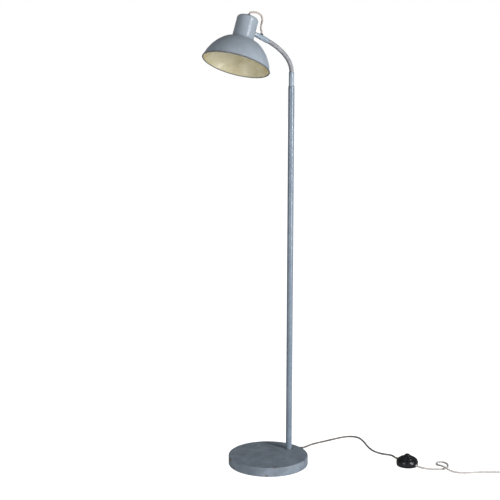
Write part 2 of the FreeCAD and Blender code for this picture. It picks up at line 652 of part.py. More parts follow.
def free_cord():
    gap = FLOOR_GAP
    save("floor_cord_base", swept(bent_wire(CORD_ROUTE, "floor_cord_base"), CORD_R, "floor_cord_base"))
    spin = FreeCAD.Rotation(UP, COIL_AZIMUTH)
    centre = V(COIL_X, COIL_Y, 0)
    wire, end = coil_wire(FLEX_R + gap)
    coil = swept(wire, FLEX_R, "floor_cord_coil")
    print(f"coil: least gap to itself {least_gap(wire, FLEX_R):.2f}")
    save("floor_cord_coil", placed(coil, centre, spin))
    into_coil = [centre + spin.multVec(V(x, -COIL_R, FLEX_R + gap)) for x in (-32, -2 * FLEX_R)]
    run = [V(*p) for p in FLEX_ROUTE] + into_coil
    save("floor_cord_switch", swept(bent_wire(run, "floor_cord_switch"), FLEX_R, "floor_cord_switch"))
    tail = [end] + [V(*p) for p in TAIL_ROUTE]
    tail_tube = swept(bent_wire(tail, "floor_cord_tail"), FLEX_R, "floor_cord_tail")
    save("floor_cord_tail", placed(tail_tube, centre, spin))
    body, pins = plug()
    stand = FreeCAD.Rotation(ALONG_X, -90)
    at = centre + spin.multVec(V(*TAIL_ROUTE[-1]))
    whole = spin.multiply(stand)
    save("plug_body", placed(body, at, whole))
    save("plug_pins", *[placed(p, at, whole) for p in pins])
    axis = whole.multVec(UP)
    for x in (-PIN_SPACING / 2, PIN_SPACING / 2):
        print("plug pin at", at + whole.multVec(V(x, 0, PLUG_LENGTH + (PIN_LENGTH - PIN_TAPER) / 2)), "axis", axis)


# ---------------------------------------------------------------- assembly

def main():
    os.makedirs("parts", exist_ok=True)
    save("base_casting", base_casting())
    plate_and_felt()
    lead_entry()
    pole()
    pivots, tilts = neck_line()
    for i in range(LINKS):
        link = placed(neck_link(), pivots[i], FreeCAD.Rotation(ALONG_Y, -tilts[i]))
        save(f"neck_link_{i + 1:02d}", link)
    root = pivots[-1]
    turn = FreeCAD.Rotation(ALONG_Y, -NECK_TURN)
    sleeve_parts(root, turn)
    along = turn.multVec(UP)
    centre = root + along * HEAD_REACH
    head_turn = FreeCAD.Rotation(ALONG_Y, HEAD_TILT).multiply(FreeCAD.Rotation(V(-1, 0, 0), HEAD_TURN))
    head(centre, head_turn)
    flexes(pivots, root, turn, centre, head_turn)
    foot_switch()
    free_cord()
    for i, p in enumerate(pivots):
        print(f"pivot {i}: {p.x:.3f} {p.y:.3f} {p.z:.3f}")
    print("tilts", [round(t, 3) for t in tilts])
    print("head centre", centre, "shade axis", head_turn.multVec(UP), "stud", along)


main()
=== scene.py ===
"""Looks of a gooseneck reading floor lamp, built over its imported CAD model.

Sizes are millimetres in the row frame (+Z up, origin under the centre of the base) until a mesh is made.
"""

import logging
import math
from dataclasses import dataclass, field
from enum import Enum

import bmesh
import bpy
import numpy as np
from mathutils import Matrix


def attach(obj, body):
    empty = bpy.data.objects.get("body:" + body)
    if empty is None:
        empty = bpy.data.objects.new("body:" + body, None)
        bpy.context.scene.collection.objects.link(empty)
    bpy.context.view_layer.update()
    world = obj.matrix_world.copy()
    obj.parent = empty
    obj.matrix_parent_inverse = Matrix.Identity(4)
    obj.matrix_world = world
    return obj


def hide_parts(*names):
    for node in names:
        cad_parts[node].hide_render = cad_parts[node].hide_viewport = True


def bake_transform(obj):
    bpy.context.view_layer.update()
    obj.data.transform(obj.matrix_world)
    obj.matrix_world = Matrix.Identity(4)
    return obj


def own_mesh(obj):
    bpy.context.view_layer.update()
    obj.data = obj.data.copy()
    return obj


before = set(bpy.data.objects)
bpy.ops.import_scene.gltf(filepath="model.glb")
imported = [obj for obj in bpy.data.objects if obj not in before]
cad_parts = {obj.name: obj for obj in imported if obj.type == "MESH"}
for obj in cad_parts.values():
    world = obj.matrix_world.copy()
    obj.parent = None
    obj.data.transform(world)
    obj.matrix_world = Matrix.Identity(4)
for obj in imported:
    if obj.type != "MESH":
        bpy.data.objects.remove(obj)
log = logging.getLogger("lamp")

MM = 0.001
TINY = 1e-9
HOLD = 0.35  # distance of the point that holds a flat run, in millimetres
LONG_RUN = 1.6  # shorter runs need no such points
Colour = tuple[float, float, float]
Point = tuple[float, float, float]


# ---------------------------------------------------------------- places and outlines


def srgb(red: int, green: int, blue: int) -> Colour:
    """Linear colour of an 8-bit one: ((c + 0.055) / 1.055) to the power 2.4, or c / 12.92 near black."""
    c = np.array([red, green, blue]) / 255
    linear = np.where(c <= 0.04045, c / 12.92, ((c + 0.055) / 1.055) ** 2.4)
    return tuple(float(x) for x in linear)


def turn_y(degrees: float) -> np.ndarray:
    """Rotation about Y: x' = x cos a + z sin a, z' = z cos a - x sin a."""
    c, s = math.cos(math.radians(degrees)), math.sin(math.radians(degrees))
    return np.array([[c, 0, s], [0, 1, 0], [-s, 0, c]])


def turn_x(degrees: float) -> np.ndarray:
    """Rotation about X: y' = y cos a - z sin a, z' = y sin a + z cos a."""
    c, s = math.cos(math.radians(degrees)), math.sin(math.radians(degrees))
    return np.array([[1, 0, 0], [0, c, -s], [0, s, c]])


def turn_z(degrees: float) -> np.ndarray:
    """Rotation about Z: x' = x cos a - y sin a, y' = x sin a + y cos a."""
    c, s = math.cos(math.radians(degrees)), math.sin(math.radians(degrees))
    return np.array([[c, -s, 0], [s, c, 0], [0, 0, 1]])


@dataclass(frozen=True)
class Place:
    """Where a piece's own axes stand in the row frame."""

    origin: Point = (0.0, 0.0, 0.0)
    turn: np.ndarray = field(default_factory=lambda: np.eye(3))

    def put(self, points: np.ndarray) -> np.ndarray:
        """Points moved there: turn times point, plus origin."""
        return points @ self.turn.T + np.array(self.origin)

    def at(self, *point: float) -> tuple:
        """One point moved there, in metres."""
        return tuple(self.put(np.array(point, float)) * MM)

def rounded(corners: list, steps: int = 6, closed: bool = False) -> np.ndarray:
    """Outline with rounded corners.

    Each rounding is the curve ((1-t)^2 A + 2 t (1-t) w P + t^2 B) / ((1-t)^2 + 2 t (1-t) w + t^2) with w the
    cosine of half the turn, a true arc that touches both runs. A point near each end of a run keeps flat
    faces flat where the shading is smooth.

    Args:
        corners: (r, z) or (r, z, rounding radius) for each corner, counter-clockwise in the r, z plane.
        steps: Pieces in each rounding.
        closed: Whether the last corner joins the first.

    Returns:
        Array of (r, z) rows.
    """
    spots = np.array([c[:2] for c in corners], float)
    radii = [c[2] if len(c) > 2 else 0.0 for c in corners]
    count = len(spots)
    t = np.linspace(0, 1, steps + 1)[:, None]
    parts = []
    for i, (spot, radius) in enumerate(zip(spots, radii)):
        inner = closed or 0 < i < count - 1
        if radius and inner:
            back, on = spots[i - 1] - spot, spots[(i + 1) % count] - spot
            back, on = back / np.linalg.norm(back), on / np.linalg.norm(on)
            turn = math.pi - math.acos(float(np.clip(back @ on, -1, 1)))
            reach = radius * math.tan(turn / 2)
            a, b, w = spot + back * reach, spot + on * reach, math.cos(turn / 2)
            top = (1 - t) ** 2 * a + 2 * t * (1 - t) * w * spot + t**2 * b
            parts.append(top / ((1 - t) ** 2 + 2 * t * (1 - t) * w + t**2))
        else:
            parts.append(spot[None, :])
    line = np.concatenate(parts)
    ends = np.roll(line, -1, 0) if closed else line[1:]
    starts = line if closed else line[:-1]
    run = np.linalg.norm(ends - starts, axis=1)
    hold = np.where(run > LONG_RUN, HOLD / np.maximum(run, TINY), np.nan)[:, None]
    near = starts + (ends - starts) * hold
    far = ends - (ends - starts) * hold
    woven = np.stack([starts, near, far], 1).reshape(-1, 2)
    woven = woven[~np.isnan(woven[:, 0])]
    return woven if closed else np.vstack([woven, line[-1:]])


class Wrap(Enum):
    """Which ways of a grid close on themselves."""

    NONE = (False, False)
    AROUND = (False, True)
    BOTH = (True, True)


def grid_mesh(
    name: str,
    points: np.ndarray,
    wrap: Wrap = Wrap.AROUND,
    uv: np.ndarray | None = None,
    marks: dict[str, np.ndarray] | None = None,
    sharp: float = 35.0,
) -> bpy.types.Object:
    """Mesh from a grid of points; the face at i, j joins points (i, j), (i, j+1), (i+1, j+1), (i+1, j).

    Args:
        name: Name of the piece.
        points: Array rows x columns x 3, in millimetres in the row frame.
        wrap: Which ways close.
        uv: Surface coordinates, rows x columns x 2, with one row or column more where that way closes.
        marks: Named values, one for each point.
        sharp: Edges that turn more than this many degrees stay crisp.

    Returns:
        The object, at the origin, with its place in its mesh.
    """
    rows, cols = points.shape[:2]
    row_wrap, col_wrap = wrap.value
    i, j = np.meshgrid(
        np.arange(rows if row_wrap else rows - 1), np.arange(cols if col_wrap else cols - 1), indexing="ij",
    )
    corner_i = np.stack([i, i, i + 1, i + 1], -1).reshape(-1, 4)
    corner_j = np.stack([j, j + 1, j + 1, j], -1).reshape(-1, 4)
    faces = (corner_i % rows) * cols + corner_j % cols
    mesh = bpy.data.meshes.new(name)
    mesh.vertices.add(rows * cols)
    mesh.vertices.foreach_set("co", (points.reshape(-1, 3) * MM).astype(np.float32).ravel())
    mesh.loops.add(faces.size)
    mesh.loops.foreach_set("vertex_index", faces.astype(np.int32).ravel())
    mesh.polygons.add(len(faces))
    mesh.polygons.foreach_set("loop_start", np.arange(0, faces.size, 4, dtype=np.int32))
    mesh.update(calc_edges=True)
    if uv is not None:
        layer = mesh.uv_layers.new(name="run")
        layer.data.foreach_set("uv", uv[corner_i, corner_j].astype(np.float32).ravel())
    for mark, values in (marks or {}).items():
        layer = mesh.attributes.new(mark, "FLOAT", "POINT")
        layer.data.foreach_set("value", values.astype(np.float32).ravel())
    work = bmesh.new()
    work.from_mesh(mesh)
    bmesh.ops.remove_doubles(work, verts=work.verts, dist=1e-7)
    work.to_mesh(mesh)
    work.free()
    mesh.shade_smooth()
    mesh.set_sharp_from_angle(angle=math.radians(sharp))
    mesh.validate()
    piece = bpy.data.objects.new(name, mesh)
    bpy.context.scene.collection.objects.link(piece)
    return piece


def turned(
    name: str,
    outline: np.ndarray,
    place: Place,
    sides: int = 96,
    closed: bool = True,
    wear: np.ndarray | None = None,
    sharp: float = 35.0,
) -> bpy.types.Object:
    """Surface of revolution: (r cos a, r sin a, z) for each outline row (r, z) and each angle a, then placed.

    Args:
        name: Name of the piece.
        outline: (r, z) rows, counter-clockwise, so that faces point outwards.
        place: Where the piece's axis stands.
        sides: Steps round.
        closed: Whether the outline's end joins its start.
        wear: How worn the surface is at each row and side, from 0 to 1.
        sharp: Edges that turn more than this stay crisp.

    Returns:
        The piece.
    """
    angle = np.linspace(0, 2 * np.pi, sides, endpoint=False)
    r, z = outline[:, 0, None], outline[:, 1, None]
    points = np.stack([r * np.cos(angle), r * np.sin(angle), z + 0 * angle], -1)
    marks = {"wear": np.zeros((len(outline), sides)) if wear is None else wear}
    return grid_mesh(name, place.put(points), Wrap.BOTH if closed else Wrap.AROUND, marks=marks, sharp=sharp)


def worn_spots(outline: np.ndarray, sides: int, spots: list) -> np.ndarray:
    """Wear round a turned piece: the largest exp(-(distance / reach)^2 - (turn / spread)^2) of its spots.

    Args:
        outline: (r, z) rows.
        sides: Steps round.
        spots: For each its r, z and heading in degrees, its reach in millimetres and its spread in degrees.

    Returns:
        Array rows x sides from 0 to 1.
    """
    angle = np.linspace(0, 360, sides, endpoint=False)
    r, z, heading, reach, spread = np.array(spots, float).T
    gap = np.hypot(outline[:, 0, None] - r, outline[:, 1, None] - z) / reach
    turn = ((angle[:, None] - heading + 180) % 360 - 180) / spread
    return np.exp(-(gap[:, None] ** 2) - turn[None] ** 2).max(2)


# ---------------------------------------------------------------- lines of cords


def nurbs(name: str, points: list, bevel: float = 0.0) -> bpy.types.Object:
    """Smooth curve with the route's points as its control points.

    Args:
        name: Name of the piece.
        points: Control points in metres.
        bevel: Radius of the cord in metres, or 0 for a bare line.

    Returns:
        The curve object.
    """
    curve = bpy.data.curves.new(name, "CURVE")
    curve.dimensions = "3D"
    curve.resolution_u = 12
    curve.render_resolution_u = 12
    spline = curve.splines.new("NURBS")
    spline.points.add(len(points) - 1)
    spline.points.foreach_set("co", np.hstack([np.array(points), np.ones((len(points), 1))]).ravel())
    spline.order_u = 3
    spline.use_endpoint_u = True
    if bevel:
        curve.bevel_depth = bevel
        curve.bevel_resolution = 5
        curve.use_fill_caps = True
    piece = bpy.data.objects.new(name, curve)
    bpy.context.scene.collection.objects.link(piece)
    return piece


def read_line(points: list, spacing: float) -> np.ndarray:
    """Points read from the route's own NURBS curve, evenly spaced by length.

    Args:
        points: Control points in metres.
        spacing: Distance between points, in metres.

    Returns:
        Array of points in metres.
    """
    bare = nurbs("bare_line", points)
    bpy.context.view_layer.update()
    mesh = bpy.data.meshes.new_from_object(bare)
    line = np.zeros(len(mesh.vertices) * 3)
    mesh.vertices.foreach_get("co", line)
    line = line.reshape(-1, 3)
    bpy.data.meshes.remove(mesh)
    bpy.data.objects.remove(bare)
    gone = np.concatenate([[0], np.cumsum(np.linalg.norm(np.diff(line, axis=0), axis=1))])
    even = np.linspace(0, gone[-1], max(8, int(gone[-1] / spacing)))
    return np.stack([np.interp(even, gone, line[:, k]) for k in range(3)], 1)


def length_of(line: np.ndarray) -> float:
    """Length of a line of points: the sum of its steps."""
    return float(np.linalg.norm(np.diff(line, axis=0), axis=1).sum())


def frames(line: np.ndarray, aside: Point) -> tuple[np.ndarray, np.ndarray, np.ndarray]:
    """Heading t, side t x aside and lift side x t at each point of a line, all of length one."""
    heading = np.gradient(line, axis=0)
    heading /= np.linalg.norm(heading, axis=1, keepdims=True)
    side = np.cross(heading, np.array(aside, float))
    side /= np.linalg.norm(side, axis=1, keepdims=True)
    return heading, side, np.cross(side, heading)


def tube_grid(line: np.ndarray, radius: np.ndarray | float, ref: np.ndarray, sides: int) -> np.ndarray:
    """Tube about a line: c + r (cos a e + sin a f), e the reference made square to heading t, f = t x e."""
    heading = np.gradient(line, axis=0)
    heading /= np.linalg.norm(heading, axis=1, keepdims=True)
    f = np.cross(heading, ref)
    f /= np.linalg.norm(f, axis=1, keepdims=True)
    e = np.cross(f, heading)
    angle = np.linspace(0, 2 * np.pi, sides, endpoint=False)
    size = np.broadcast_to(np.asarray(radius, float), (len(line),))[:, None, None]
    spread = np.cos(angle)[None, :, None] * e[:, None] + np.sin(angle)[None, :, None] * f[:, None]
    return line[:, None] + size * spread


def capped(grid: np.ndarray) -> np.ndarray:
    """Grid with each end closed by a row drawn together at its middle."""
    first = np.repeat(grid[:1].mean(1, keepdims=True), grid.shape[1], 1)
    last = np.repeat(grid[-1:].mean(1, keepdims=True), grid.shape[1], 1)
    return np.concatenate([first, grid, last])


def run_uv(line: np.ndarray, sides: int) -> np.ndarray:
    """Surface coordinates of a capped tube: millimetres along, and the share of a turn round."""
    gone = np.concatenate([[0], np.cumsum(np.linalg.norm(np.diff(line, axis=0), axis=1))])
    along = np.concatenate([[gone[0]], gone, [gone[-1]]])
    return np.stack(np.broadcast_arrays(along[:, None], np.linspace(0, 1, sides + 1)[None, :]), -1)


def twisted_cores(
    name: str, line: np.ndarray, diameter: float, lay: float, aside: Point, sides: int = 10,
) -> bpy.types.Object:
    """Three cores laid round each other.

    Core k runs at line + e (cos w side + sin w lift), with w = 2 pi s / lay + 2 pi k / 3. Three equal
    circles of radius c fill a circle of radius D / 2 where e = 2 c / sqrt 3 and e + c = D / 2.

    Args:
        name: Name of the piece.
        line: The cord's centreline in millimetres, evenly spaced.
        diameter: Diameter D over the cores.
        lay: Length of one full twist.
        aside: Direction that the line never runs along.
        sides: Steps round each core.

    Returns:
        The piece, with each core's number in the attribute "core".
    """
    gone = np.concatenate([[0], np.cumsum(np.linalg.norm(np.diff(line, axis=0), axis=1))])
    _, side, lift = frames(line, aside)
    core = diameter / 2 / (1 + 2 / math.sqrt(3))
    cores = []
    for k in range(3):
        w = (2 * np.pi * (gone / lay + k / 3))[:, None]
        out = np.cos(w) * side + np.sin(w) * lift
        centre = line + (diameter / 2 - core) * out
        grid = capped(tube_grid(centre, core, out, sides))
        cores.append(
            grid_mesh(
                f"{name}_{k}", grid, uv=run_uv(centre, sides),
                marks={"core": np.full(grid.shape[:2], k / 2)},
            )
        )
    return joined(name, cores)


def joined(name: str, pieces: list) -> bpy.types.Object:
    """One object from several, by way of bmesh.

    Args:
        name: Name of the joined piece.
        pieces: Objects at the origin, which are removed.

    Returns:
        The joined piece.
    """
    work = bmesh.new()
    for piece in pieces:
        work.from_mesh(piece.data)
    mesh = bpy.data.meshes.new(name)
    work.to_mesh(mesh)
    work.free()
    for piece in pieces:
        bpy.data.objects.remove(piece)
    whole = bpy.data.objects.new(name, mesh)
    bpy.context.scene.collection.objects.link(whole)
    return whole


# ---------------------------------------------------------------- shader groups


class Board:
    """A node tree with short calls for adding and linking nodes."""

    def __init__(self, tree: bpy.types.NodeTree) -> None:
        """Takes the tree that the nodes go into."""
        self.tree = tree

    def add(self, kind: str, inputs: dict | None = None, **settings: object) -> bpy.types.Node:
        """Adds a node.

        Args:
            kind: The node's type name without its ShaderNode prefix, or a full type name.
            inputs: For each input's name or number, a constant, or the output socket that feeds it.
            settings: Properties of the node.

        Returns:
            The node.
        """
        node = self.tree.nodes.new(kind if kind.startswith("Node") else "ShaderNode" + kind)
        for key, value in settings.items():
            setattr(node, key, value)
        for key, value in (inputs or {}).items():
            if isinstance(value, bpy.types.NodeSocket):
                self.tree.links.new(value, node.inputs[key])
            else:
                node.inputs[key].default_value = value
        return node

    def math(
        self, operation: str, a: object, b: object = 0.0, c: object = 0.0, clamp: bool = False,
    ) -> bpy.types.NodeSocket:
        """Output of a Math node with the given inputs."""
        return self.add("Math", {0: a, 1: b, 2: c}, operation=operation, use_clamp=clamp).outputs[0]

    def mix(self, share: object, a: object, b: object) -> bpy.types.NodeSocket:
        """Output colour of a Mix node, from a at 0 to b at 1."""
        node = self.add("Mix", {0: share, 6: a, 7: b}, data_type="RGBA")
        return node.outputs[2]

    def noise(
        self, where: object, scale: object, detail: float = 4.0, rough: float = 0.55,
    ) -> bpy.types.NodeSocket:
        """Grey value of a Noise Texture node."""
        node = self.add("TexNoise", {"Vector": where, "Scale": scale, "Detail": detail, "Roughness": rough})
        return node.outputs[0]

    def spread(self, value: object, low: object, high: object) -> bpy.types.NodeSocket:
        """The value as a smooth step from 0 at low to 1 at high."""
        node = self.add("MapRange", {0: value, 1: low, 2: high}, interpolation_type="SMOOTHSTEP")
        return node.outputs[0]


def new_group(
    name: str, takes: dict[str, tuple], gives: dict[str, str],
) -> tuple[bpy.types.NodeTree, Board, bpy.types.Node, bpy.types.Node]:
    """Empty shader group with named sockets.

    Args:
        name: Name of the group.
        takes: For each input, its socket's kind and its default value or None.
        gives: For each output, its socket's kind.

    Returns:
        The group, its board, its input node and its output node.
    """
    tree = bpy.data.node_groups.new(name, "ShaderNodeTree")
    for label, (kind, value) in takes.items():
        socket = tree.interface.new_socket(name=label, in_out="INPUT", socket_type="NodeSocket" + kind)
        if value is not None:
            socket.default_value = value
    for label, kind in gives.items():
        tree.interface.new_socket(name=label, in_out="OUTPUT", socket_type="NodeSocket" + kind)
    board = Board(tree)
    return tree, board, board.add("NodeGroupInput"), board.add("NodeGroupOutput")


class Effects:
    """The effects that several finishes share, each a node group made once."""

    def __init__(self) -> None:
        """Makes the groups."""
        self.mottle = self._mottle()
        self.wear = self._wear()
        self.braid = self._braid()
        self.drawn = self._drawn()

    @staticmethod
    def _mottle() -> bpy.types.NodeTree:
        """Cloudy change of colour with fine specks, and the small unevenness of a sprayed or moulded skin."""
        tree, b, get, put = new_group(
            "mottle",
            {
                "Place": ("Vector", None), "Clouds": ("Float", 20.0), "Grain": ("Float", 900.0),
                "Light": ("Color", None), "Dark": ("Color", None), "Speck": ("Float", 0.2),
            },
            {"Colour": "Color", "Mask": "Float", "Height": "Float"},
        )
        g = get.outputs
        clouds = b.noise(g["Place"], g["Clouds"], 5.0, 0.6)
        streaks = b.noise(g["Place"], b.math("MULTIPLY", g["Clouds"], 5.3), 3.0, 0.5)
        soft = b.spread(
            b.math("ADD", b.math("MULTIPLY", clouds, 0.7), b.math("MULTIPLY", streaks, 0.3)), 0.36, 0.66,
        )
        grain = b.noise(g["Place"], g["Grain"], 2.0, 0.5)
        specks = b.math("MULTIPLY", b.spread(grain, 0.58, 0.7), g["Speck"])
        mask = b.math("ADD", soft, specks, clamp=True)
        colour = b.mix(mask, g["Dark"], g["Light"])
        b.tree.links.new(colour, put.inputs["Colour"])
        b.tree.links.new(mask, put.inputs["Mask"])
        b.tree.links.new(grain, put.inputs["Height"])
        return tree

    @staticmethod
    def _wear() -> bpy.types.NodeTree:
        """Mask of chips and rubs: ragged noise that gets through only where the wear value is high."""
        tree, b, get, put = new_group(
            "wear",
            {
                "Place": ("Vector", None), "Wear": ("Float", 0.0), "Size": ("Float", 150.0),
                "Amount": ("Float", 0.5),
            },
            {"Mask": "Float"},
        )
        g = get.outputs
        ragged = b.noise(g["Place"], g["Size"], 6.0, 0.65)
        patches = b.noise(g["Place"], b.math("MULTIPLY", g["Size"], 0.22), 2.0, 0.5)
        level = b.math("ADD", b.math("MULTIPLY", ragged, 0.55), b.math("MULTIPLY", patches, 0.45))
        gate = b.math("SUBTRACT", 0.86, b.math("MULTIPLY", g["Wear"], g["Amount"]))
        mask = b.spread(level, gate, b.math("ADD", gate, 0.05))
        b.tree.links.new(mask, put.inputs["Mask"])
        return tree

    @staticmethod
    def _braid() -> bpy.types.NodeTree:
        """Braided yarn: two families of threads cross at sin(2 pi (a +- n b)), and the higher one shows."""
        tree, b, get, put = new_group(
            "braid",
            {"Run": ("Vector", None), "Pitch": ("Float", 2.4), "Ends": ("Float", 4.0)},
            {"Mask": "Float", "Height": "Float"},
        )
        g = get.outputs
        parts = b.add("SeparateXYZ", {0: g["Run"]})
        along = b.math("DIVIDE", parts.outputs[0], g["Pitch"])
        round_ = b.math("MULTIPLY", parts.outputs[1], g["Ends"])
        turn = 2 * math.pi
        right = b.math("SINE", b.math("MULTIPLY", b.math("ADD", along, round_), turn))
        left = b.math("SINE", b.math("MULTIPLY", b.math("SUBTRACT", along, round_), turn))
        height = b.math("MAXIMUM", right, left)
        b.tree.links.new(b.spread(right, -0.2, 0.6), put.inputs["Mask"])
        b.tree.links.new(b.math("MULTIPLY_ADD", height, 0.5, 0.5), put.inputs["Height"])
        return tree

    @staticmethod
    def _drawn() -> bpy.types.NodeTree:
        """Fine lines of turned, drawn or brushed metal: noise stretched by a scale for each of the ways."""
        tree, b, get, put = new_group(
            "drawn",
            {
                "Place": ("Vector", None), "Stretch": ("Vector", (60.0, 60.0, 2500.0)),
                "Light": ("Color", None), "Dark": ("Color", None),
            },
            {"Colour": "Color", "Height": "Float"},
        )
        g = get.outputs
        scaled = b.add("VectorMath", {0: g["Place"], 1: g["Stretch"]}, operation="MULTIPLY").outputs[0]
        lines = b.noise(scaled, 1.0, 3.0, 0.6)
        b.tree.links.new(b.mix(b.spread(lines, 0.35, 0.65), g["Dark"], g["Light"]), put.inputs["Colour"])
        b.tree.links.new(lines, put.inputs["Height"])
        return tree


# ---------------------------------------------------------------- finishes


class Tone(Enum):
    """Colours read from the photograph's surfaces, as linear values."""

    GREY_LIGHT = srgb(160, 171, 182)
    GREY_DARK = srgb(149, 160, 171)
    BASE_LIGHT = srgb(140, 152, 165)
    BASE_DARK = srgb(118, 129, 141)
    POLE_LIGHT = srgb(134, 148, 163)
    POLE_DARK = srgb(120, 134, 149)
    SLEEVE_LIGHT = srgb(158, 172, 186)
    SLEEVE_DARK = srgb(144, 158, 172)
    NECK_LIGHT = srgb(160, 162, 168)
    NECK_DARK = srgb(140, 141, 147)
    PRIMER = srgb(112, 96, 84)
    CREAM = srgb(234, 227, 198)
    CREAM_DARK = srgb(207, 195, 150)
    # Darker copies of the shade's grey for the rolled bead: painted shade under the rim, not a paint of its
    # own.
    BEAD_PAINTED_SHADE_LIGHT = srgb(118, 124, 130)
    BEAD_PAINTED_SHADE_DARK = srgb(94, 98, 102)
    STEEL = srgb(178, 180, 180)
    STEEL_DARK = srgb(128, 130, 132)
    BRASS = srgb(196, 160, 92)
    BRASS_DARK = srgb(140, 106, 54)
    BLACK = srgb(12, 13, 17)
    BLACK_WORN = srgb(24, 26, 32)
    YARN_BROWN = srgb(150, 124, 116)
    YARN_CREAM = srgb(222, 214, 206)
    YARN_GREY = srgb(176, 168, 166)
    FLOOR_PALE = srgb(226, 223, 219)
    FLOOR_SOILED = srgb(176, 170, 168)
    LEAD_GREY = srgb(162, 157, 154)
    LEAD_DARK = srgb(96, 90, 86)
    FELT = srgb(58, 66, 60)
    CERAMIC = srgb(226, 222, 210)
    BROWN = srgb(108, 66, 40)
    BLUE = srgb(60, 92, 150)
    LEAF = srgb(136, 168, 30)


def started(name: str) -> tuple[bpy.types.Material, Board, bpy.types.Node, bpy.types.NodeSocket]:
    """New material with its shader and the object's coordinates.

    Args:
        name: Name of the material.

    Returns:
        The material, its board, its Principled shader and the Object coordinates.
    """
    material = bpy.data.materials.new(name)
    material.use_nodes = True
    tree = material.node_tree
    board = Board(tree)
    shader = next(n for n in tree.nodes if n.bl_idname == "ShaderNodeBsdfPrincipled")
    place = board.add("TexCoord").outputs["Object"]
    return material, board, shader, place


@dataclass(frozen=True)
class Lacquer:
    """Sprayed satin lacquer with cloudy tone, chips down to primer and slight orange peel."""

    name: str
    light: Tone = Tone.GREY_LIGHT
    dark: Tone = Tone.GREY_DARK
    bare: Tone = Tone.PRIMER
    clouds: float = 22.0
    roughness: float = 0.42
    peel: float = 0.05
    wear: float = 0.44
    chip_size: float = 260.0

    def make(self, effects: Effects) -> bpy.types.Material:
        """Builds the material."""
        material, b, shader, place = started(self.name)
        mottle = b.add("Group", node_tree=effects.mottle)
        for key, value in {
            "Clouds": self.clouds, "Grain": 1400.0, "Light": (*self.light.value, 1),
            "Dark": (*self.dark.value, 1), "Speck": 0.06,
        }.items():
            mottle.inputs[key].default_value = value
        b.tree.links.new(place, mottle.inputs["Place"])
        mark = b.add("Attribute", attribute_name="wear").outputs["Fac"]
        chips = b.add("Group", {"Place": place, "Wear": mark}, node_tree=effects.wear)
        chips.inputs["Size"].default_value = self.chip_size
        chips.inputs["Amount"].default_value = self.wear
        colour = b.mix(chips.outputs["Mask"], mottle.outputs["Colour"], (*self.bare.value, 1))
        rough = b.math("ADD", b.math("MULTIPLY", mottle.outputs["Mask"], -0.08), self.roughness + 0.04)
        rough = b.math("ADD", rough, b.math("MULTIPLY", chips.outputs["Mask"], 0.3), clamp=True)
        height = b.math("SUBTRACT", b.math("MULTIPLY", mottle.outputs["Height"], 0.35), chips.outputs["Mask"])
        bump = b.add("Bump", {"Strength": self.peel, "Distance": 0.0004, "Height": height})
        b.tree.links.new(colour, shader.inputs["Base Color"])
        b.tree.links.new(rough, shader.inputs["Roughness"])
        b.tree.links.new(bump.outputs[0], shader.inputs["Normal"])
        shader.inputs["IOR"].default_value = 1.5
        return material


@dataclass(frozen=True)
class Metal:
    """Turned, drawn or plated metal with fine lines."""

    name: str
    light: Tone
    dark: Tone
    roughness: float = 0.32
    stretch: Point = (120.0, 120.0, 2600.0)

    def make(self, effects: Effects) -> bpy.types.Material:
        """Builds the material."""
        material, b, shader, place = started(self.name)
        lines = b.add("Group", {"Place": place}, node_tree=effects.drawn)
        lines.inputs["Stretch"].default_value = self.stretch
        lines.inputs["Light"].default_value = (*self.light.value, 1)
        lines.inputs["Dark"].default_value = (*self.dark.value, 1)
        tarnish = b.noise(place, 180.0, 4.0, 0.6)
        b.tree.links.new(lines.outputs["Colour"], shader.inputs["Base Color"])
        b.tree.links.new(
            b.math("MULTIPLY_ADD", tarnish, 0.25, self.roughness - 0.1, clamp=True),
            shader.inputs["Roughness"],
        )
        bump = b.add("Bump", {"Strength": 0.15, "Distance": 0.0002, "Height": lines.outputs["Height"]})
        b.tree.links.new(bump.outputs[0], shader.inputs["Normal"])
        shader.inputs["Metallic"].default_value = 1.0
        return material


@dataclass(frozen=True)
class Moulded:
    """Moulded plastic, rubber, phenolic or glazed ceramic."""

    name: str
    light: Tone
    dark: Tone
    roughness: float = 0.3
    clouds: float = 90.0
    grain: float = 2200.0
    bump: float = 0.08
    coat: float = 0.0

    def make(self, effects: Effects) -> bpy.types.Material:
        """Builds the material."""
        material, b, shader, place = started(self.name)
        skin = b.add("Group", {"Place": place}, node_tree=effects.mottle)
        for key, value in {
            "Clouds": self.clouds, "Grain": self.grain, "Light": (*self.light.value, 1),
            "Dark": (*self.dark.value, 1), "Speck": 0.1,
        }.items():
            skin.inputs[key].default_value = value
        b.tree.links.new(skin.outputs["Colour"], shader.inputs["Base Color"])
        rough = b.math("MULTIPLY_ADD", skin.outputs["Mask"], 0.12, self.roughness - 0.04, clamp=True)
        b.tree.links.new(rough, shader.inputs["Roughness"])
        bump = b.add("Bump", {"Strength": self.bump, "Distance": 0.0003, "Height": skin.outputs["Height"]})
        b.tree.links.new(bump.outputs[0], shader.inputs["Normal"])
        shader.inputs["Coat Weight"].default_value = self.coat
        shader.inputs["Coat Roughness"].default_value = 0.12
        return material


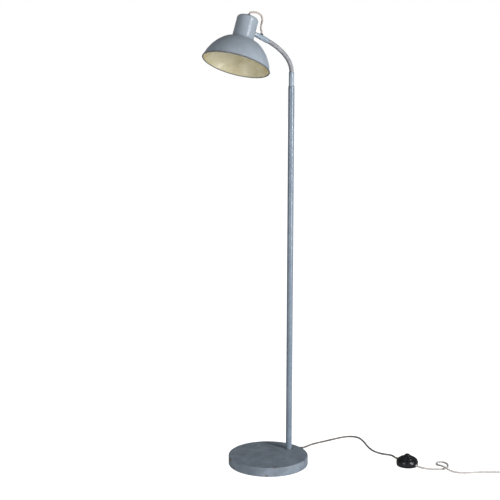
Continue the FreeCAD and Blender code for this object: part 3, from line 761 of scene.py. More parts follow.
@dataclass(frozen=True)
class Braided:
    """Cloth-covered flex: braided yarn in two colours, which follows each core's own run."""

    name: str
    first: Tone = Tone.YARN_CREAM
    second: Tone = Tone.YARN_BROWN
    other: Tone = Tone.YARN_GREY

    def make(self, effects: Effects) -> bpy.types.Material:
        """Builds the material."""
        material, b, shader, place = started(self.name)
        run = b.add("UVMap", uv_map="run").outputs[0]
        braid = b.add("Group", {"Run": run}, node_tree=effects.braid)
        fuzz = b.noise(place, 5200.0, 3.0, 0.6)
        core = b.add("Attribute", attribute_name="core").outputs["Fac"]
        yarn = b.mix(braid.outputs["Mask"], (*self.first.value, 1), (*self.second.value, 1))
        pale = b.mix(
            b.math("MULTIPLY", braid.outputs["Mask"], 0.4), (*self.first.value, 1), (*self.other.value, 1),
        )
        colour = b.mix(core, yarn, pale)
        soiled = b.mix(b.math("MULTIPLY", fuzz, 0.35), colour, (*self.second.value, 1))
        height = b.math("ADD", braid.outputs["Height"], b.math("MULTIPLY", fuzz, 0.4))
        bump = b.add("Bump", {"Strength": 0.6, "Distance": 0.0004, "Height": height})
        b.tree.links.new(soiled, shader.inputs["Base Color"])
        b.tree.links.new(bump.outputs[0], shader.inputs["Normal"])
        shader.inputs["Roughness"].default_value = 0.9
        shader.inputs["Sheen Weight"].default_value = 0.3
        shader.inputs["Sheen Roughness"].default_value = 0.5
        return material


class Paintbox:
    """All finishes of the lamp, built once, under the record's slot names."""

    def __init__(self) -> None:
        """Builds every material."""
        fx = Effects()
        self.base = Lacquer(
            "base_lacquer", Tone.BASE_LIGHT, Tone.BASE_DARK, clouds=30.0, roughness=0.5, wear=0.54,
        ).make(fx)
        self.pole = Lacquer(
            "pole_lacquer", Tone.POLE_LIGHT, Tone.POLE_DARK, clouds=12.0, roughness=0.22,
        ).make(fx)
        self.sleeve = Lacquer(
            "sleeve_lacquer", Tone.SLEEVE_LIGHT, Tone.SLEEVE_DARK, clouds=30.0, roughness=0.24,
        ).make(fx)
        self.neck = Lacquer(
            "gooseneck_lacquer", Tone.NECK_LIGHT, Tone.NECK_DARK, clouds=60.0, roughness=0.42,
        ).make(fx)
        self.housing = Lacquer("housing_lacquer", clouds=24.0, roughness=0.26, peel=0.03).make(fx)
        self.head = Lacquer("shade_lacquer", clouds=14.0, roughness=0.45).make(fx)
        # The bead's lacquer is a darker copy of the shade's grey: painted shade along the rim.
        self.bead = Lacquer(
            "bead_painted_shade", Tone.BEAD_PAINTED_SHADE_LIGHT, Tone.BEAD_PAINTED_SHADE_DARK, clouds=40.0, roughness=0.42,
        ).make(fx)
        self.enamel = Lacquer(
            "cream_enamel", Tone.CREAM, Tone.CREAM_DARK, clouds=9.0, roughness=0.34,
        ).make(fx)
        self.steel = Metal("bare_metal_finish", Tone.STEEL, Tone.STEEL_DARK).make(fx)
        self.inner = Metal("inner_steel_finish", Tone.STEEL, Tone.STEEL_DARK, 0.45).make(fx)
        self.brass = Metal("brass_finish", Tone.BRASS, Tone.BRASS_DARK).make(fx)
        self.black = Moulded("black_phenolic", Tone.BLACK_WORN, Tone.BLACK, 0.27, bump=0.03).make(fx)
        self.rubber = Moulded("black_rubber_finish", Tone.BLACK_WORN, Tone.BLACK, 0.6, bump=0.2).make(fx)
        self.ceramic = Moulded("ceramic_finish", Tone.CERAMIC, Tone.CREAM, 0.2, coat=0.3).make(fx)
        self.felt = Moulded("felt_finish", Tone.FELT, Tone.BLACK_WORN, 0.95, 400.0, 3800.0, 1.0).make(fx)
        self.lead = Moulded("lead_sheath", Tone.LEAD_GREY, Tone.LEAD_DARK, 0.34, 26.0, 900.0, 0.1).make(fx)
        self.cloth = Braided("cloth_flex_finish").make(fx)
        self.floor_cloth = Braided("floor_cloth_finish", Tone.FLOOR_PALE, Tone.FLOOR_SOILED).make(fx)
        self.core_brown = Moulded("core_brown", Tone.BROWN, Tone.PRIMER, 0.4).make(fx)
        self.core_leaf = Moulded("core_leaf", Tone.LEAF, Tone.YARN_CREAM, 0.4).make(fx)


def dress(piece: bpy.types.Object, material: bpy.types.Material) -> bpy.types.Object:
    """Gives a new piece its material."""
    piece.data.materials.clear()
    piece.data.materials.append(material)
    return piece


def dress_node(node: str, material: bpy.types.Material) -> None:
    """Puts a material on a CAD node, whose mesh stays as it is."""
    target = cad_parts[node]
    for place in target.material_slots:
        place.material = material
    if not target.material_slots:
        target.data.materials.append(material)
    log.info("node %s keeps its shape and takes %s", node, material.name)


def report(piece: bpy.types.Object, words: str) -> bpy.types.Object:
    """Logs a finished piece and returns it."""
    log.info("%s: %s", piece.name, words)
    return piece


# ---------------------------------------------------------------- base


@dataclass
class Base:
    """Round weighted base with its gland and the lead inside it."""

    radius: float = 125.0
    top: float = 30.0
    foot: float = 1.5
    plate_radius: float = 114.0
    plate_top: float = 4.0
    edge: float = 3.0
    gland_at: Point = (0.0, 26.0, 11.0)
    gland_reach: float = 147.0

    def build(self, paint: Paintbox) -> None:
        """Builds and dresses the pieces of the base."""
        line = rounded(
            [
                (self.plate_radius, self.plate_top), (self.plate_radius, self.foot),
                (self.radius, self.foot, 1.0), (self.radius, self.top, self.edge), (119.0, self.top),
                (116.0, self.top), (112.0, self.top), (0.0, self.top), (0.0, self.plate_top),
            ],
            closed=True,
        )
        worn = worn_spots(
            line, 200,
            [
                (117.0, self.top, -117.5, 5.0, 6.0), (self.radius, self.top - 1, -119.0, 3.5, 3.0),
                (self.radius, self.foot, -130.0, 4.5, 6.0), (self.radius, 12.0, 172.0, 14.0, 10.0),
                (self.radius, self.top - 2, 160.0, 3.0, 6.0),
            ],
        )
        body = turned("base_body", line, Place(), 200, wear=worn)
        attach(dress(body, paint.base), "stand")
        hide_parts("base_casting")
        report(body, "cast disc with a softened edge")
        x, y, z = self.gland_at
        along = Place((x, y, z), turn_y(90))
        ribs = [(6.2 - 2.1 * i / 7 - (0.7 if i % 2 else 0.0), 126.4 + 2.9 * i) for i in range(8)]
        gland = [
            (3.05, 118.0), (7.6, 118.0), (7.6, 124.2, 0.8), (6.3, 125.2),
        ] + [(r, h, 0.3) for r, h in ribs[1:]]
        gland += [(4.0, self.gland_reach, 0.4), (3.05, self.gland_reach)]
        bush = turned("lead_gland", rounded(gland, 3, closed=True), along, 40)
        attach(dress(bush, paint.rubber), "stand")
        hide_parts("cord_gland")
        report(bush, "tapered ribbed gland at the rim")
        route = [(0.068, 0.026, 0.011), (0.09, 0.026, 0.011), (0.12, 0.026, 0.011), (0.1465, 0.026, 0.011)]
        lead = nurbs("lead_in_base", route, 0.00295)
        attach(dress(lead, paint.lead), "stand")
        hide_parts("base_lead")
        for node, finish in {
            "base_bottom_plate": paint.inner, "base_felt_pad": paint.felt, "base_plate_screws": paint.steel,
            "cord_clamp_bar": paint.inner, "cord_clamp_screws": paint.steel,
        }.items():
            dress_node(node, finish)


# ---------------------------------------------------------------- pole


@dataclass
class Pole:
    """Straight tube with its foot ring, swaged top and the collar that carries the neck."""

    at: float = 84.0
    radius: float = 9.5
    bore: float = 8.0
    low: float = 9.8
    shoulder: float = 1172.0
    top: float = 1179.0
    collar_radius: float = 7.9
    collar_top: float = 1219.9

    def build(self, paint: Paintbox) -> None:
        """Builds and dresses the pieces of the pole."""
        place = Place((self.at, 0.0, 0.0))
        line = rounded([
            (self.bore, self.low), (self.radius, self.low), (self.radius, self.shoulder, 24.0),
            (8.75, self.top - 1.2, 0.8), (8.1, self.top), (self.bore, self.top),
        ], 8, closed=True)
        tube = turned("pole_body", line, place, 64)
        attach(dress(tube, paint.pole), "stand")
        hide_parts("pole_tube")
        report(tube, "lacquered tube")
        ring = [(9.6, 30.0), (11.8, 30.0), (11.8, 31.4, 0.5), (10.9, 32.0, 0.4), (9.6, 32.0)]
        foot = turned("foot_ring", rounded(ring, 3, closed=True), place, 48)
        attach(dress(foot, paint.steel), "stand")
        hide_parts("pole_foot_ring")
        report(foot, "bare ring where the pole stands in the base")
        collar = rounded(
            [
                (6.9, self.shoulder), (self.collar_radius - 0.1, self.shoulder),
                (self.collar_radius - 0.1, 1187.0), (self.collar_radius, 1187.6, 0.3),
                (self.collar_radius, self.collar_top - 2.4, 0.3),
                (self.collar_radius - 0.35, self.collar_top - 2.0, 0.3),
                (self.collar_radius, self.collar_top - 1.6, 0.3),
                (self.collar_radius, self.collar_top, 0.7), (6.9, self.collar_top),
            ],
            3, closed=True,
        )
        sleeve = turned("collar_body", collar, place, 56)
        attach(dress(sleeve, paint.sleeve), "stand")
        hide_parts("neck_collar")
        report(sleeve, "turned collar")
        route = [
            (58, 26, 11), (50.0, 17.5, 6.8), (54.0, 4.0, 6.5), (67.0, 0, 6.5), (81.0, 0, 6.5),
            (84.1, 0, 18), (84, 0, 35), (84, 0, 620), (84, 0, 1206),
        ]
        cores = nurbs("cores_in_pole", (np.array([(68, 26, 11), *route], float) * MM).tolist(), 0.0021)
        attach(dress(cores, paint.core_brown), "stand")
        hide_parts("supply_cores")
        for node, finish in {"pole_washer": paint.steel, "pole_nut": paint.steel}.items():
            dress_node(node, finish)


# ---------------------------------------------------------------- gooseneck


@dataclass
class Gooseneck:
    """Ribbed sleeve over the ball joints, one rigid length for each link.

    Each length ends above in a bead, a zone of a ball about its joint, and begins below in a skirt that
    slides over the bead before it. The groove between shoulder and skirt is the room that the tilt takes up.
    """

    foot: Point = (84.0, 0.0, 1219.9)
    links: int = 11
    length: float = 138.5
    turn: float = 68.5
    first: float = 3.5
    radius: float = 6.85
    depth: float = 0.2
    ribs: int = 5
    bead: float = 6.4
    socket: float = 6.48
    bore: float = 5.1
    core_radius: float = 2.4
    sides: int = 48
    sways: tuple = (1, 4, 7, 10)
    bend_limit: float = 8.5
    sway_limit: float = 13.0
    play: float = 0.6
    overlap: float = 3.0
    last_shoulder: float = 17.5
    last_bead: float = 16.0
    hidden_ends: tuple = (1.5, 5.0)

    def tilt(self, share: np.ndarray) -> np.ndarray:
        """Degrees from vertical at share u of the length: turn (u + u (1 - u) (1.55 - 1.1 u))."""
        return self.turn * (share + share * (1 - share) * (1.55 - 1.1 * share))

    def tilts(self) -> np.ndarray:
        """Degrees from vertical of each length: the collar's, the links' and the end sleeve's."""
        pitch = (self.length - self.first) / self.links
        links = self.tilt((self.first + (np.arange(self.links) + 0.5) * pitch) / self.length)
        return np.concatenate([[0.0], links, [self.turn]])

    def pivots(self) -> np.ndarray:
        """Joints of the links: each is a link's pitch further along its tilt, summed from the first."""
        pitch = (self.length - self.first) / self.links
        tilt = np.radians(self.tilts()[1:-1])
        steps = pitch * np.stack([-np.sin(tilt), 0 * tilt, np.cos(tilt)], 1)
        first = np.array(self.foot) + np.array([0, 0, self.first])
        return np.vstack([first, first + np.cumsum(steps, 0)])

    def limit(self, joint: int) -> float:
        """Degrees that a joint tilts from rest."""
        return self.sway_limit if joint in self.sways else self.bend_limit

    def build(self, paint: Paintbox) -> None:
        """Builds one length of sleeve and one of core for the collar, each link and the end sleeve."""
        tilts = self.tilts()
        between = np.radians((tilts[1:] + tilts[:-1]) / 2)
        headings = np.stack([-np.sin(between), 0 * between, np.cos(between)], 1)
        last = math.radians(self.turn)
        joints = self.pivots()
        up, out = np.array([0, 0, 1]), np.array([-math.sin(last), 0, math.cos(last)])
        below, beyond = self.hidden_ends
        points = np.vstack([np.array(self.foot) - below * up, joints, joints[-1] + beyond * out])
        headings = np.vstack([up, headings, out])
        bodies = ["stand"] + [f"link_{i + 1:02d}" for i in range(self.links)] + ["arm_end"]
        for k, body in enumerate(bodies):
            ends = points[k], points[k + 1], headings[k], headings[k + 1]
            skin = self.piece(k, *ends)
            if 1 <= k <= self.links:
                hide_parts(f"neck_link_{k:02d}")
            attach(dress(skin, paint.neck), body)
            core = self.core(k, *ends)
            if k == 0:
                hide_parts("neck_flex")
            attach(dress(core, paint.core_brown), body)
            report(skin, f"ribbed sleeve on {body}")

    @staticmethod
    def course(
        a: np.ndarray, b: np.ndarray, u: np.ndarray, v: np.ndarray, share: np.ndarray
    ) -> tuple[np.ndarray, np.ndarray]:
        """Cubic from a heading u to b heading v: its points and headings at the shares of its length."""
        t = share[:, None]
        run = np.linalg.norm(b - a)
        at = (2 * t**3 - 3 * t**2 + 1) * a + (3 * t**2 - 2 * t**3) * b
        at = at + run * ((t**3 - 2 * t**2 + t) * u + (t**3 - t**2) * v)
        slope = (6 * t**2 - 6 * t) * (a - b) + run * ((3 * t**2 - 4 * t + 1) * u + (3 * t**2 - 2 * t) * v)
        return at, slope / np.linalg.norm(slope, axis=1, keepdims=True)

    def rings(self, centres: np.ndarray, headings: np.ndarray, radii: np.ndarray) -> np.ndarray:
        """Circles square to headings in the X-Z plane: c + r (cos a y + sin a h x y)."""
        angle = np.linspace(0, 2 * np.pi, self.sides, endpoint=False)
        y = np.array([0.0, 1.0, 0.0])
        across = np.cross(headings, y)[:, None]
        spread = np.cos(angle)[None, :, None] * y + np.sin(angle)[None, :, None] * across
        return centres[:, None] + radii[:, None, None] * spread

    def zone(
        self, centre: np.ndarray, heading: np.ndarray, radius: float, low: float, high: float,
    ) -> np.ndarray:
        """Rings of a ball's zone between two latitudes in degrees."""
        around = np.radians(np.linspace(low, high, 10))
        centres = centre + (radius * np.sin(around))[:, None] * heading
        return self.rings(centres, np.repeat(heading[None], 10, 0), radius * np.cos(around))

    def piece(self, k: int, a: np.ndarray, b: np.ndarray, u: np.ndarray, v: np.ndarray) -> bpy.types.Object:
        """One length of sleeve, ribbed by r - depth (1 - |sin(pi n s)|^0.7), with its bead and its socket.

        Args:
            k: Number of the length, from 0 at the collar to the last in the end sleeve.
            a: Its lower joint.
            b: Its upper joint.
            u: Heading at the lower joint.
            v: Heading at the upper joint.

        Returns:
            The piece, one closed surface.
        """
        run = float(np.linalg.norm(b - a))
        below = (self.limit(k - 1) + self.play) / 2 if k else 0.0
        above = (self.limit(k) + self.play) / 2 if k < self.links else self.last_shoulder
        low = self.radius * math.sin(math.radians(below)) / run
        high = 1 - self.radius * math.sin(math.radians(above)) / run if k <= self.links else 1.0
        ribs = self.ribs if 1 <= k <= self.links else 2
        share = np.linspace(0, 1, 10 * ribs + 1)
        ridge = np.abs(np.sin(np.pi * ribs * share)) ** 0.7
        at, heading = self.course(a, b, u, v, low + (high - low) * share)
        rows = [self.rings(at, heading, self.radius - self.depth * (1 - ridge))]
        end = 1.0
        if k <= self.links:
            top = above + self.limit(k) + self.overlap if k < self.links else self.last_bead
            rows.append(self.zone(b, v, self.bead, -above, top))
            end = 1.0 + self.bead * math.sin(math.radians(top)) / run
            rows.append(self.rings((b + (end - 1) * run * v)[None], v[None], np.array([self.bore])))
        meet = math.degrees(math.acos(self.bore / self.socket))
        begin = self.socket * math.sin(math.radians(meet)) / run if k else 0.0
        at, heading = self.course(a, b, u, v, np.linspace(1.0, begin, 6))
        rows.append(self.rings(at, heading, np.full(6, self.bore)))
        if k:
            rows.append(self.zone(a, u, self.socket, meet, below))
        return grid_mesh(f"gooseneck_{k + 1:02d}", np.concatenate(rows), Wrap.BOTH, sharp=50.0)

    def core(self, k: int, a: np.ndarray, b: np.ndarray, u: np.ndarray, v: np.ndarray) -> bpy.types.Object:
        """The flex inside one length of sleeve: a round tube with rounded ends short of the joints."""
        run = float(np.linalg.norm(b - a))
        away = np.array([0.5, 0.7, 1.3])
        share = np.concatenate([away, np.linspace(2.0, run - 2.0, 5), run - away[::-1]]) / run
        at, heading = self.course(a, b, u, v, share)
        drawn = self.core_radius - np.array([0.8, 0.4, 0.0])
        radii = np.concatenate([drawn, np.full(5, self.core_radius), drawn[::-1]])
        return grid_mesh(f"neck_core_{k + 1:02d}", capped(self.rings(at, heading, radii)[:, ::4]))


# ---------------------------------------------------------------- end sleeve


@dataclass
class EndSleeve:
    """Turned sleeve at the neck's end with the bush where the flex comes out."""

    root: Point = (-10.487, 0.0, 1311.407)
    tilt: float = -68.5
    radius: float = 7.75
    length: float = 51.5
    tip: float = 5.4
    bush_at: float = 26.0
    bush_top: float = 10.6

    @property
    def place(self) -> Place:
        """Local Z runs along the sleeve and X on its upper side."""
        return Place(self.root, turn_y(self.tilt))

    def build(self, paint: Paintbox) -> None:
        """Builds and dresses the sleeve, its bush and its swivel."""
        line = rounded(
            [
                (3.05, self.length), (3.05, 30.0), (7.0, 28.0), (7.0, -1.0), (self.radius, -1.0, 0.6),
                (self.radius, 34.0, 20.0), (7.3, 43.0, 12.0), (self.tip, self.length, 0.8),
            ],
            6, closed=True,
        )
        body = turned("end_sleeve", line, self.place, 56)
        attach(dress(body, paint.sleeve), "arm_end")
        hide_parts("arm_sleeve")
        report(body, "turned end sleeve")
        across = Place(
            tuple(self.place.put(np.array([0.0, 0.0, self.bush_at]))), self.place.turn @ turn_y(90),
        )
        bush_line = rounded([
            (3.25, 4.5), (4.1, 4.5), (4.1, 7.2), (5.3, 7.2), (5.3, 9.0, 0.5), (4.3, self.bush_top, 0.5),
            (3.25, self.bush_top),
        ], 4, closed=True)
        bush = turned("flex_outlet", bush_line, across, 32)
        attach(dress(bush, paint.rubber), "arm_end")
        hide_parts("flex_bush")
        report(bush, "black bush for the flex")
        for node in ("swivel_stud", "swivel_nut", "swivel_spring_washer"):
            dress_node(node, paint.steel)


# ---------------------------------------------------------------- head


@dataclass
class Head:
    """Housing, shade and lampholder about the shade's tilted axis."""

    centre: Point = (-92.6426, 0.0, 1343.7692)
    housing_radius: float = 31.7
    wall: float = 1.2
    low: float = -33.9
    edge: float = 26.8
    cap: float = 38.2
    crown: float = 44.6
    shade_start: float = 28.8
    shade_wall: float = 1.1
    shade_arcs: tuple = ((46.1, 37.8), (119.8, 64.6), (94.7, 79.2))
    bead: float = 1.9
    holder: float = 20.0
    holder_low: float = -60.0
    thread: float = 13.2

    @property
    def place(self) -> Place:
        """The shade's axis leans back 21.5 degrees and is swivelled 4.65 about the stud."""
        return Place(self.centre, turn_y(21.5) @ turn_x(-4.65))

    def dome(self, inset: float, steps: int = 18) -> np.ndarray:
        """The dome's arcs from top to mouth: centre + (radius - inset) (sin h, cos h), heading h rising."""
        r, z, heading = self.shade_start, self.low, 0.0
        parts = []
        for radius, end in self.shade_arcs:
            h = np.linspace(heading, math.radians(end), steps)
            middle = np.array([r - radius * math.sin(heading), z - radius * math.cos(heading)])
            parts.append(middle + (radius - inset) * np.stack([np.sin(h), np.cos(h)], 1))
            r, z = middle + radius * np.array([math.sin(h[-1]), math.cos(h[-1])])
            heading = h[-1]
        return np.concatenate([parts[0]] + [p[1:] for p in parts[1:]])

    def build(self, paint: Paintbox) -> None:
        """Builds and dresses the head's pieces."""
        self.build_shade(paint)
        self.build_housing(paint)
        self.build_holder(paint)

    def build_shade(self, paint: Paintbox) -> None:
        """Spun shell: dome outside, rolled bead, dome inside; grey outside, cream inside, and a darker grey on
        the bead as painted shade under the rim.
        """
        outer, inner = self.dome(0.0), self.dome(self.shade_wall)
        mouth = outer[-1]
        a = np.radians(np.linspace(75, -200, 15))
        centre = np.array([mouth[0] + 0.3, mouth[1] - 1.6])
        bead = centre + self.bead * np.stack([np.cos(a), np.sin(a)], 1)
        flat = np.array([(20.6, self.low), (24.0, self.low)])
        inner_top = np.array([(24.0, self.low - self.shade_wall), (20.6, self.low - self.shade_wall)])
        line = np.concatenate([flat, outer, bead, inner[::-1], inner_top])[::-1]
        rim = tuple(centre + [1.0, -1.2])
        worn = worn_spots(line, 160, [(*rim, -60.0, 1.6, 4.0), (*rim, -150.0, 1.6, 3.0)])
        shell = turned("shade_shell", line, self.place, 160, wear=worn, sharp=50.0)
        dress(shell, paint.head)
        shell.data.materials.append(paint.enamel)
        # Third material: the darker bead grey, painted shade along the rim.
        shell.data.materials.append(paint.bead)
        self.paint_inside(shell, mouth[1] - 1.6)
        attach(shell, "head")
        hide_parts("shade")
        report(shell, "spun shade with its rolled bead")

    def paint_inside(self, shell: bpy.types.Object, mouth: float) -> None:
        """Gives the second material to the faces inside the dome, and the third, a darker grey that paints
        shade under the rim, to the bead.

        Args:
            shell: The shade.
            mouth: Height of the bead's middle on the shade's axis.
        """
        count = len(shell.data.polygons)
        centre, normal = np.zeros(count * 3), np.zeros(count * 3)
        shell.data.polygons.foreach_get("center", centre)
        shell.data.polygons.foreach_get("normal", normal)
        local = (centre.reshape(-1, 3) / MM - np.array(self.centre)) @ self.place.turn
        facing = normal.reshape(-1, 3) @ self.place.turn
        reach = np.linalg.norm(local[:, :2], axis=1)
        outward = (facing[:, :2] * local[:, :2]).sum(1) / reach
        inwards = outward * 0.6 + facing[:, 2] * 0.8 < 0
        inside = inwards & (local[:, 2] > mouth - 0.2) & (outward + facing[:, 2] < 0.15)
        # Bead faces take the darker grey: painted shade along the rim.
        rim = ~inside & (local[:, 2] < mouth + self.bead)
        shell.data.polygons.foreach_set("material_index", inside.astype(np.int32) + 2 * rim)

    def build_housing(self, paint: Paintbox) -> None:
        """Pressed cup over the lampholder, and the nut at its crown."""
        r, w = self.housing_radius, self.wall
        line = rounded(
            [
                (r - w, self.low), (r + 0.9, self.low, 0.3), (r + 0.1, self.low + 5.5, 24.0),
                (r, self.edge + 8.2, 8.6), (15.5, self.cap - 0.9, 30.0), (5.1, self.cap),
                (5.1, self.cap - w), (15.3, self.cap - 2.2, 20.0), (r - w, self.edge + 6.9, 7.4),
            ],
            12, closed=True,
        )
        cup = turned(
            "housing_cup", line, self.place, 96, wear=worn_spots(line, 96, [(r, self.low, -62.0, 2.5, 5.0)]),
        )
        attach(dress(cup, paint.housing), "head")
        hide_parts("lamp_housing")
        report(cup, "pressed housing")
        nut_line = rounded([
            (3.3, 41.1), (3.3, 38.2), (7.6, 38.2), (7.6, 40.0, 0.5), (6.2, 42.6, 0.5), (5.4, self.crown, 0.5),
            (3.3, self.crown),
        ], 4, closed=True)
        nut = turned("crown_nut", nut_line, self.place, 40)
        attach(dress(nut, paint.rubber), "head")
        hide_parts("cap_cord_nut")
        report(nut, "nut where the flex enters the crown")

    def build_holder(self, paint: Paintbox) -> None:
        """Threaded shell, inner radius r + d + d sin(2 pi z / pitch - a), and the CAD nodes round it."""
        z = np.linspace(self.holder_low + 2.4, -34.2, 70)
        angle = np.linspace(0, 2 * np.pi, 64, endpoint=False)
        depth, pitch, wall = 0.35, 3.6, 14.2
        wave = self.thread + depth + depth * np.sin(2 * np.pi * z[:, None] / pitch - angle[None, :])
        inside = np.stack([wave * np.cos(angle), wave * np.sin(angle), z[:, None] + 0 * angle], -1)
        plain = np.full((2, 64), wall)
        ends = np.array([z[0], z[-1]])[:, None]
        back = np.stack([plain * np.cos(angle), plain * np.sin(angle), ends + 0 * angle], -1)
        grid = np.concatenate([inside[::-1], back])
        shell = grid_mesh("screw_shell", self.place.put(grid), Wrap.BOTH, sharp=50.0)
        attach(dress(shell, paint.brass), "head")
        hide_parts("holder_thread")
        report(shell, "rolled thread of the lampholder")
        for node, finish in {
            "shade_ring": paint.black, "swivel_saddle": paint.steel, "swivel_inner_washer": paint.steel,
            "holder_nipple": paint.steel, "cap_locknut": paint.steel, "holder_cap": paint.black,
            "holder_skirt": paint.black, "holder_insulator": paint.ceramic, "holder_contacts": paint.brass,
            "holder_screws": paint.brass,
        }.items():
            dress_node(node, finish)


# ---------------------------------------------------------------- foot switch


@dataclass
class FootSwitch:
    """Round black foot switch with stepped rings and a push button."""

    at: Point = (335.5, -280.0, 0.0)
    heading: float = -82.75
    radius: float = 34.0
    widest: float = 11.0
    under: float = 34.6
    over: float = 14.476
    button: float = 9.6
    button_top: float = 38.0
    spring_low: float = 15.1
    spring_high: float = 25.9
    travel: float = 3.5

    @property
    def place(self) -> Place:
        """Local X runs along the cord through the switch."""
        return Place(self.at, turn_z(self.heading))

    def side(self) -> np.ndarray:
        """Full side of the cover: r - R + R cos h, z = w + R sin h, with an R below height w and one above."""
        below = np.radians(np.linspace(-17.4, 0, 9))[:-1]
        above = np.radians(np.linspace(0, 67.5, 15))
        under = np.stack(
            [self.radius - self.under * (1 - np.cos(below)), self.widest + self.under * np.sin(below)], 1,
        )
        over = np.stack(
            [self.radius - self.over * (1 - np.cos(above)), self.widest + self.over * np.sin(above)], 1,
        )
        return np.concatenate([under, over])

    def build(self, paint: Paintbox) -> None:
        """Builds and dresses the switch."""
        r = self.radius
        inside = rounded(
            [(10.0, 24.4), (14.5, 23.8), (25.0, 19.2), (r - 2.8, 9.0), (r - 2.8, 0.6), (r - 1.8, 0.6)]
        )
        steps = rounded(
            [
                (24.8, 24.5), (23.0, 24.9, 0.5), (23.0, 26.3, 0.7), (15.4, 28.2, 0.5), (15.4, 29.8, 0.9),
                (10.0, 30.9),
            ],
            5,
        )
        cover = turned("switch_cap", np.concatenate([inside, self.side(), steps]), self.place, 96)
        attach(dress(cover, paint.black), "stand")
        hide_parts("switch_cover")
        report(cover, "stepped cover of the foot switch")
        knob_line = rounded(
            [
                (0.0, 13.5), (3.0, 13.5), (3.0, 26.0), (self.button, 26.0), (self.button, 33.6, 1.2),
                (7.8, 34.9, 0.4), (7.6, 36.4, 1.0), (0.0, self.button_top),
            ],
            6,
        )
        knob = turned("switch_knob", knob_line, self.place, 56, closed=False)
        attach(dress(knob, paint.black), "button")
        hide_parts("switch_button")
        report(knob, "push button")
        for node, finish in {
            "switch_sole": paint.rubber, "switch_works": paint.ceramic, "switch_terminals": paint.brass,
            "switch_screws": paint.steel,
        }.items():
            dress_node(node, finish)
        self.build_spring(paint)

    def build_spring(self, paint: Paintbox) -> None:
        """Coil spring between the works and the knob."""
        turns, radius, wire, room, points = 5.5, 4.4, 0.5, 0.05, 160
        turn = np.linspace(0, 2 * np.pi * turns, points)
        rise = np.linspace(self.spring_low + wire + room, self.spring_high - wire - room, points)
        line = self.place.put(np.stack([radius * np.cos(turn), radius * np.sin(turn), rise], 1))
        coil = grid_mesh(
            "switch_coil", capped(tube_grid(line, wire, np.repeat([[0.0, 0.0, 1.0]], points, 0), 8)),
        )
        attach(dress(coil, paint.steel), "stand")
        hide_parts("switch_spring")
        anchor = self.place.at(0.0, 0.0, self.spring_low)
        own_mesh(coil)
        report(coil, "spring under the knob")


# ---------------------------------------------------------------- cords


